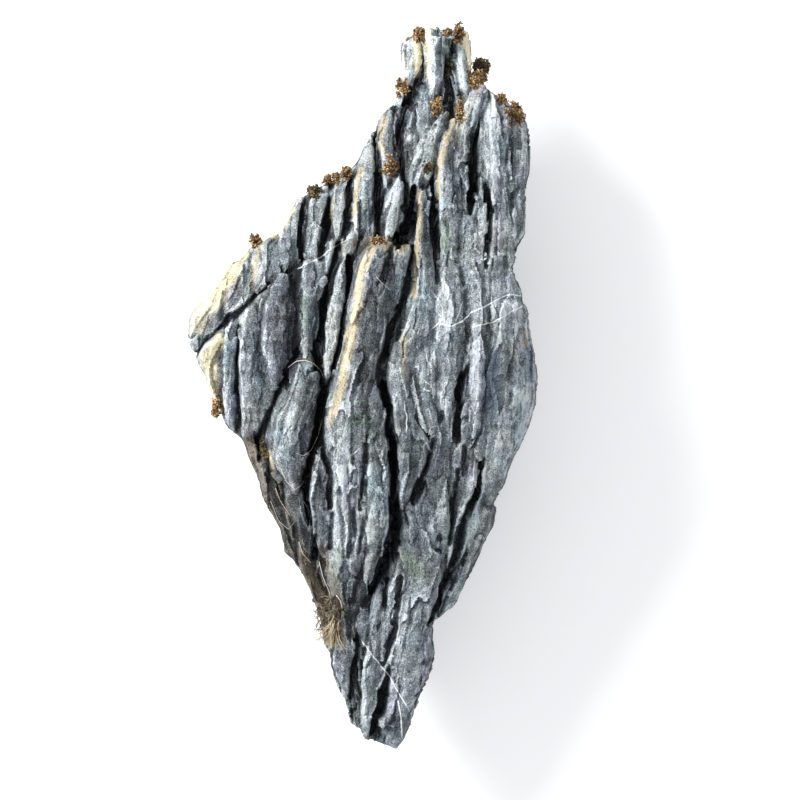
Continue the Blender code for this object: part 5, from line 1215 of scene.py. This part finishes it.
for tint, low, high in TINT_COLOURS:
    broken = spread(tree, ragged, 0, 2, 0.7, 1.3) if tint == "cream" else ragged
    share = spread(tree, product(tree, stored(tree, tint), broken), 0.1, 1.0, 0, 0.85)
    hue = mixed(tree, spread(tree, tone, 0.1, 0.8), rgb(*low), rgb(*high))
    colour = mixed(tree, share, colour, hue)
for group in (0, 1):
    distance, presence, _ = parted(tree, stored(tree, f"vein_{group}", "Vector"))
    line = spread(tree, combine(tree, "ABSOLUTE", distance, 0), 0.12, 0.42, 1, 0)
    broken = spread(tree, fleck, 0.3, 0.55, 0.35, 1)
    line = product(tree, line, spread(tree, presence, 0.1, 0.7), broken)
    colour = mixed(tree, line, colour, VEIN_COLOUR)
pits = cells(tree, scaled(tree, place, (1, 0.6, 1)), 520, "F1")
relief = total(tree, product(tree, fibre, 0.12), product(tree, speckle, 0.4), product(tree, fleck, 0.3),
               spread(tree, pits, 0.05, 0.45, -0.25, 0))
feed(tree, shader, colour, relief, 0.9, 0.7 * MM)
stone.data.materials.clear()
stone.data.materials.append(rock)

# ================================================================ the moss
# Dried cushions of moss on the crests and in the clefts, rust brown where the sun has burnt them. A few
# cushions, most in clefts and recesses, get a darker olive copy of the moss, its darkness painted shade.
# Each is a heap of curled, forked fronds that hold the rock by their bases.
FROND_THICKNESS = 0.3 * MM      # half, at the base
FROND_LENGTH = 2.6 * MM
FROND_SPACING = 1.0 * MM        # between frond tips over a cushion
TUFT_GAPS = 0.07                # the smaller, the fewer gaps a cushion has
TUFT_PITCH = 1.9                # the larger, the smaller the tufts
TUFT_REACH = 0.74               # of the cushion's half size, where the tips of a tuft lie
TUFT_LUMP = 0.7                 # how much further out the thick of a tuft reaches
TUFT_SEED = 400                 # gives each cushion tufts of its own
TIP_STRAY = 0.1
FROND_RISE = 0.25               # how much the fronds turn up
LOWEST_TIP = 1 * MM
CUSHION_SHELLS = ((1.0, 0.35), (0.75, 0.6), (0.45, 0.9))   # size and disorder of the fronds' layers
GOLDEN_ANGLE = 2.39996          # from one frond of a layer to the next
BURIED_REACH = 9 * MM           # a frond that lies no deeper in the rock is moved up to its surface
FROND_LENGTHS = (0.7, 0.6)      # the shortest, and how much longer one may be, times FROND_LENGTH
FROND_INWARD = 0.85             # of its length, from a frond's tip to its base inside the cushion
FROND_SHADE = (0.5, 0.3)        # the middle shade and how much it strays
INNER_SHADE = 0.25              # how much painted shade darkens the fronds at a cushion's heart
TURN = 6.28                     # once round
OVERHEAD = 0.3                  # metres, a height above the whole stone
rng = np.random.default_rng(7)

rock_surface = BVHTree.FromObject(stone, bpy.context.evaluated_depsgraph_get())


def buried(point):
    """True if the point lies in the rock."""
    near, normal, _, _ = rock_surface.find_nearest(point)
    return (point - near).dot(normal) < 0


def make_frond(bend, forks):
    """One frond along +Z from the origin, of unit length: a curled stem and its side lobes."""
    bpy.ops.curve.primitive_bezier_curve_add()
    curve = bpy.context.object
    curve.data.splines.clear()
    lobes = [((0, 0, 0), (0.02, 0, 0.3), (bend * 0.4, 0.05, 0.65), (bend, 0.02, 0.85),
              (bend * 1.3, 0, 0.72))]
    for height, turn, reach in forks:
        side = Vector((math.cos(turn), math.sin(turn), 0)) * reach
        base = Vector((0.02, 0, height))
        lobes.append((base, base + side * 0.5 + Vector((0, 0, 0.12)), base + side + Vector((0, 0, 0.26)),
                      base + side * 0.8 + Vector((0, 0, 0.42))))
    for lobe in lobes:
        spline = curve.data.splines.new("NURBS")
        spline.points.add(len(lobe) - 1)
        for number, (point, place) in enumerate(zip(spline.points, lobe)):
            point.co = (*place, 1)
            point.radius = 0.75 + 0.5 * number / (len(lobe) - 1)
        spline.use_endpoint_u = True
        spline.order_u = 3
        spline.resolution_u = 3
    curve.data.dimensions = "3D"
    curve.data.bevel_depth = FROND_THICKNESS / FROND_LENGTH
    curve.data.bevel_resolution = 1
    curve.data.use_fill_caps = True
    alone(curve)
    bpy.ops.object.convert(target="MESH")
    made = bpy.context.object
    weld = bmesh.new()
    weld.from_mesh(made.data)
    bmesh.ops.remove_doubles(weld, verts=weld.verts, dist=0.001)
    bmesh.ops.triangulate(weld, faces=weld.faces)
    bmesh.ops.recalc_face_normals(weld, faces=weld.faces)
    weld.to_mesh(made.data)
    weld.free()
    points = points_of(made)
    faces = np.array([polygon.vertices[:] for polygon in made.data.polygons])
    bpy.data.objects.remove(made)
    return points, faces


FRONDS = [make_frond(0.35, ((0.35, 0.5, 0.32), (0.5, 3.4, 0.3))),
          make_frond(-0.4, ((0.3, 2.2, 0.36), (0.45, 5.0, 0.26), (0.6, 0.4, 0.22))),
          make_frond(0.5, ((0.4, 4.2, 0.34),)),
          make_frond(0.25, ((0.25, 1.2, 0.3), (0.4, 3.1, 0.36), (0.55, 5.2, 0.3)))]


def turned_to(direction, roll):
    """The matrix that turns +Z to a direction, after a roll about +Z."""
    turn = Vector(direction).to_track_quat("Z", "Y").to_matrix()
    return np.array(turn) @ np.array(((math.cos(roll), -math.sin(roll), 0),
                                      (math.sin(roll), math.cos(roll), 0), (0, 0, 1)))


def joined(name, parts):
    """One mesh of many parts. A part is its points, its faces and its shade."""
    first, all_faces, shades = 0, [], []
    for points, faces, shade in parts:
        all_faces.append(faces + first)
        shades.append(np.full(len(points), shade))
        first += len(points)
    all_points = np.concatenate([points for points, _, _ in parts])
    mesh = bpy.data.meshes.new(name)
    mesh.from_pydata(all_points.tolist(), [], np.concatenate(all_faces).tolist())
    obj = bpy.data.objects.new(name, mesh)
    bpy.context.collection.objects.link(obj)
    store(obj, "shade", np.concatenate(shades))
    alone(obj)
    bpy.ops.object.shade_smooth()
    return obj


def heap(name, places):
    """One mesh of many fronds. A place is a frond's number, base, direction, roll, size and shade."""
    parts, tips = [], []
    for number, base, direction, roll, size, shade in places:
        points, faces = FRONDS[number]
        parts.append((points @ turned_to(direction, roll).T * size + np.array(base), faces, shade))
        tips.append(points[:, 2])
    obj = joined(name, parts)
    store(obj, "tip", np.concatenate(tips))
    return obj


def cushion_places(node):
    """Places for fronds that fill a cushion's solid in ragged tufts, tips at its skin."""
    low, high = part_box(node)
    centre, half = (low + high) / 2, (high - low) / 2
    seed = centre * TUFT_SEED
    places = []
    for shell, spread_out in CUSHION_SHELLS:
        size = half * shell
        area = 4 * math.pi * (size.x * size.y + size.x * size.z + size.y * size.z) / 3
        count = max(8, int(area / FROND_SPACING ** 2))
        for number in range(count):
            height = 1 - 2 * (number + 0.5) / count
            turn = number * GOLDEN_ANGLE + 0.4 * rng.standard_normal()
            ring = math.sqrt(1 - height * height)
            way = Vector((ring * math.cos(turn), ring * math.sin(turn), height))
            tuft = noise.noise(way * TUFT_PITCH + seed)
            if shell > CUSHION_SHELLS[-1][0] and tuft < TUFT_GAPS:
                continue
            reach = TUFT_REACH + TUFT_LUMP * tuft + TIP_STRAY * rng.standard_normal()
            tip = centre + Vector(w * s for w, s in zip(way, size)) * reach
            outward = Vector(w / s for w, s in zip(way, size)).normalized()
            stray = spread_out * Vector(rng.standard_normal(3))
            outward = (outward + stray + Vector((0, 0, FROND_RISE))).normalized()
            length = FROND_LENGTH * (FROND_LENGTHS[0] + FROND_LENGTHS[1] * rng.random())
            if tip.z < LOWEST_TIP:
                continue
            if buried(tip):
                above = rock_surface.ray_cast(Vector((tip.x, tip.y, OVERHEAD)), Vector((0, 0, -1)))[0]
                if not above or way.z < 0 or above.z > tip.z + BURIED_REACH:
                    continue
                tip = above + outward * length * rng.uniform(0.2, 0.7)
            shade = FROND_SHADE[0] + FROND_SHADE[1] * rng.standard_normal() - INNER_SHADE * (1 - shell)
            places.append((int(rng.integers(len(FRONDS))), tip - outward * length * FROND_INWARD,
                           outward, TURN * rng.random(), length, min(1, max(0, shade))))
    return places


def moss_material(name, deep, middle, burnt):
    """Moss that is dark at the base of each frond and bleached or burnt at its tips, partly its own
    colour and partly painted shade at the bases and painted light at the tips.
    """
    material, tree, shader = new_material(name, Roughness=0.85, Specular_IOR_Level=0.25)
    tip = stored(tree, "tip")
    grains = noise_value(tree, add_node(tree, "TexCoord", {}).outputs["Object"], 1400, 2)
    share = spread(tree, total(tree, tip, product(tree, grains, 0.4)), 0.2, 0.9)
    # The burnt tips are partly painted light, brightest on the outer fronds.
    lit = product(tree, spread(tree, tip, 0.35, 1.0), spread(tree, stored(tree, "shade"), 0.25, 0.9))
    colour = mixed(tree, lit, mixed(tree, share, rgb(*deep), rgb(*middle)), rgb(*burnt))
    feed(tree, shader, colour, grains, 0.5, 0.15 * MM)
    return material


MOSS = {"moss_rust": moss_material("dried_moss_rust", (34, 28, 22), (104, 82, 58), (206, 172, 124)),
        "moss_dark": moss_material("dried_moss_olive_painted_shade", (26, 24, 20), (70, 62, 46), (136, 120, 88))}
# These cushions get the darker copy of the moss, a painted shade.
SHADED_CUSHIONS = ("moss_crown_cleft", "moss_crown_sprig", "moss_recess", "moss_left_d", "moss_cleft")
for node in sorted(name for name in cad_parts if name.startswith("moss_")):
    cushion = heap(node + "_fronds", cushion_places(node))
    finish = "moss_dark" if node in SHADED_CUSHIONS else "moss_rust"
    cushion.data.materials.append(MOSS[finish])
    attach(cushion, "root")
    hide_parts(node)

# ================================================================ the roots
# Dead roots of the plants that once grew on the stone: a mat of straw-brown strands and loops that
# clings to its lower left edge, and single hairs that creep over its face and into its clefts.
ROOT_SIDES = 4
ROOT_TAPER = 0.6                # of its thickness, that a root loses on its way
ROOT_STEP = 1.7                 # sheet squares from one point of a root to the next
ROOT_WANDER = 0.18              # radians a step
CLIMB, FALL = 0.9 * MM, 0.6 * MM    # how much a root may rise or sink in one step
MAT_STRANDS = 300
MAT_CENTRE = (330, 614)         # sheet squares
MAT_HALF = (14, 22)
FAN_STRANDS = 34                # longer ones, which hang down from the mat
FAN_START = (333, 624)
FAN_SPREAD = (6, 5)


def tube(points, radius, sides=ROOT_SIDES):
    """Points and faces of a round tube along a list of points, thinner towards its end."""
    points = [Vector(p) for p in points]
    rings, faces = [], []
    for number, point in enumerate(points):
        ahead = points[min(number + 1, len(points) - 1)] - points[max(number - 1, 0)]
        across_way = ahead.cross(Vector((0.31, 0.17, 0.93))).normalized()
        up_way = across_way.cross(ahead).normalized()
        thick = radius * (1 - ROOT_TAPER * number / (len(points) - 1))
        rings += [point + (across_way * math.cos(turn) + up_way * math.sin(turn)) * thick
                  for turn in (2 * math.pi * i / sides for i in range(sides))]
    last = (len(points) - 1) * sides
    for ring in range(0, last, sides):
        for i in range(sides):
            one, two = ring + i, ring + (i + 1) % sides
            faces += [(one, two, two + sides), (one, two + sides, one + sides)]
    for start, flip in ((0, True), (last, False)):
        for i in range(1, sides - 1):
            corners = (start, start + i, start + i + 1)
            faces.append(corners[::-1] if flip else corners)
    return np.array([tuple(p) for p in rings]), np.array(faces)


def on_rock(x, y, above):
    """World point this far above the rock over a sheet point."""
    hit = rock_surface.ray_cast(on_sheet(x, y, OVERHEAD), Vector((0, 0, -1)))[0]
    return (hit or on_sheet(x, y, MIDDLE)) + Vector((0, 0, above))


def strand_material(name, deep, pale):
    """Dry root, paler the higher its shade."""
    material, tree, shader = new_material(name, Roughness=0.75)
    grains = noise_value(tree, add_node(tree, "TexCoord", {}).outputs["Object"], 700, 3)
    share = total(tree, product(tree, stored(tree, "shade"), 0.8), product(tree, grains, 0.4))
    feed(tree, shader, mixed(tree, spread(tree, share, 0.2, 0.9), rgb(*deep), rgb(*pale)))
    return material


def creeping_strand(x, y, heading, steps, bend, lift):
    """A strand that creeps over the rock from a sheet point, lift above it, bending as it goes."""
    route = []
    height = on_rock(x, y, lift).z
    for _ in range(steps):
        height += min(CLIMB, max(-FALL, on_rock(x, y, lift).z - height))
        route.append(on_sheet(x, y, height))
        heading += bend + ROOT_WANDER * rng.standard_normal()
        x += ROOT_STEP * math.cos(heading)
        y += ROOT_STEP * math.sin(heading)
    return route


parts = []
for number in range(MAT_STRANDS):
    turn, reach = TURN * rng.random(), math.sqrt(rng.random())
    x = MAT_CENTRE[0] + MAT_HALF[0] * reach * math.cos(turn)
    y = MAT_CENTRE[1] + MAT_HALF[1] * reach * math.sin(turn)
    thinning_out = 1 - 0.6 * reach
    route = creeping_strand(x, y, 1.7 + 0.9 * rng.standard_normal(), int(rng.integers(4, 9)),
                            0.25 * rng.standard_normal(), rng.uniform(0.1, 0.9) * thinning_out * MM)
    parts.append((*tube(route, rng.uniform(0.1, 0.24) * MM), 0.45 * rng.random() ** 1.5))
for number in range(FAN_STRANDS):
    x, y = (start + stray * rng.standard_normal() for start, stray in zip(FAN_START, FAN_SPREAD))
    route = creeping_strand(x, y, 1.85 + 0.25 * rng.standard_normal(), int(rng.integers(7, 17)),
                            0.05 * rng.standard_normal(), rng.uniform(0.3, 1.1) * MM)
    parts.append((*tube(route, rng.uniform(0.12, 0.24) * MM), 0.5 + 0.5 * rng.random()))
root_mat = joined("root_mat_strands", parts)
root_mat.data.materials.append(strand_material("dried_roots", (52, 40, 28), (206, 190, 158)))
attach(root_mat, "root")
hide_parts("root_mat")

HAIR_STEP = 2                   # sheet squares
HAIR_SIDES = 5
# A hair is its half thickness in millimetres, its shade, and its route on the sheet.
HAIRS = (
    (0.22, 0.9, ((290, 368), (298, 362), (307, 361), (315, 364), (322, 371), (325, 378))),
    (0.16, 0.6, ((323, 420), (319, 436), (312, 450), (305, 455), (298, 452))),
    (0.16, 0.7, ((283, 467), (288, 480), (297, 488), (303, 484), (308, 475))),
    (0.14, 0.6, ((277, 487), (282, 500), (292, 515))),
    (0.16, 0.7, ((300, 540), (304, 552), (312, 561))),
    (0.2, 0.8, ((320, 560), (324, 576), (330, 590), (332, 602))),
    (0.24, 0.9, ((337, 593), (341, 598), (343, 606))),
    (0.13, 0.8, ((428, 434), (430, 427), (436, 425), (439, 430))),
    (0.13, 0.4, ((432, 26), (436, 30), (437, 35), (441, 34))),
    (0.12, 0.9, ((377, 280), (383, 286), (391, 293))),
    (0.12, 0.6, ((272, 500), (280, 520), (290, 528), (296, 520))),
    (0.12, 0.6, ((305, 500), (312, 512), (310, 530))),
    (0.13, 0.5, ((294, 560), (300, 574), (312, 590))),
)
parts = []
for radius, shade, route in HAIRS:
    runs = [math.dist(one, two) for one, two in zip(route, route[1:])]
    marks = np.concatenate(([0], np.cumsum(runs)))
    places = np.linspace(0, sum(runs), max(6, int(sum(runs) / HAIR_STEP)))
    xs, ys = (np.interp(places, marks, [point[i] for point in route]) for i in (0, 1))
    heights = np.array([on_rock(px, py, 0).z for px, py in zip(xs, ys)])
    # The hair bridges what is narrower than five of its steps.
    padded = np.pad(heights, 2, mode="edge")
    lifted = np.max([padded[i:i + len(heights)] for i in range(5)], axis=0)
    lifted = np.convolve(np.pad(lifted, 2, mode="edge"), np.ones(5) / 5, mode="valid")
    lifted = np.maximum(lifted, heights) + radius * MM
    path = [on_sheet(*place) for place in zip(xs, ys, lifted)]
    parts.append((*tube(path, radius * MM, HAIR_SIDES), shade))
hairs = joined("root_hairs", parts)
hairs.data.materials.append(strand_material("root_hair", (150, 130, 100), (238, 232, 218)))
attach(hairs, "root")

# ================================================================ the table, the light, the camera
# A wide white table, and daylight from the upper left. The camera looks straight down.
bpy.ops.mesh.primitive_plane_add(size=6, location=(0, 0, -0.2 * MM))
table = bpy.context.object
table.name = "table"
white, _, _ = new_material("table_white", Base_Color=(0.93, 0.93, 0.93, 1), Roughness=0.9,
                           Emission_Color=(1, 1, 1, 1), Emission_Strength=0.3)
table.data.materials.append(white)

world = bpy.data.worlds.new("room")
bpy.context.scene.world = world
bpy.context.scene.view_settings.view_transform = "Standard"
world.use_nodes = True
background = world.node_tree.nodes["Background"]
background.inputs["Color"].default_value = (0.95, 0.97, 1.0, 1)
background.inputs["Strength"].default_value = 0.7

window = bpy.data.objects.new("key", bpy.data.lights.new("key", "AREA"))
bpy.context.collection.objects.link(window)
window.data.shape = "SQUARE"
window.data.size = 0.6
window.data.energy = 36
window.data.color = (1, 0.98, 0.95)
window.location = (-1.15, 0.75, 0.85)
towards_stone = Vector((0, 0, 0.05)) - window.location
window.rotation_euler = towards_stone.to_track_quat("-Z", "Y").to_euler()

CAMERA_ABOVE = 2.2222           # metres above MIDDLE, where 800 sheet squares fill the view
camera = bpy.data.objects.new("camera", bpy.data.cameras.new("camera"))
bpy.context.collection.objects.link(camera)
camera.data.lens = 200
camera.data.sensor_width = 36
camera.data.clip_end = 20
camera.location = on_sheet(400, 400, MIDDLE + CAMERA_ABOVE)
bpy.context.scene.camera = camera
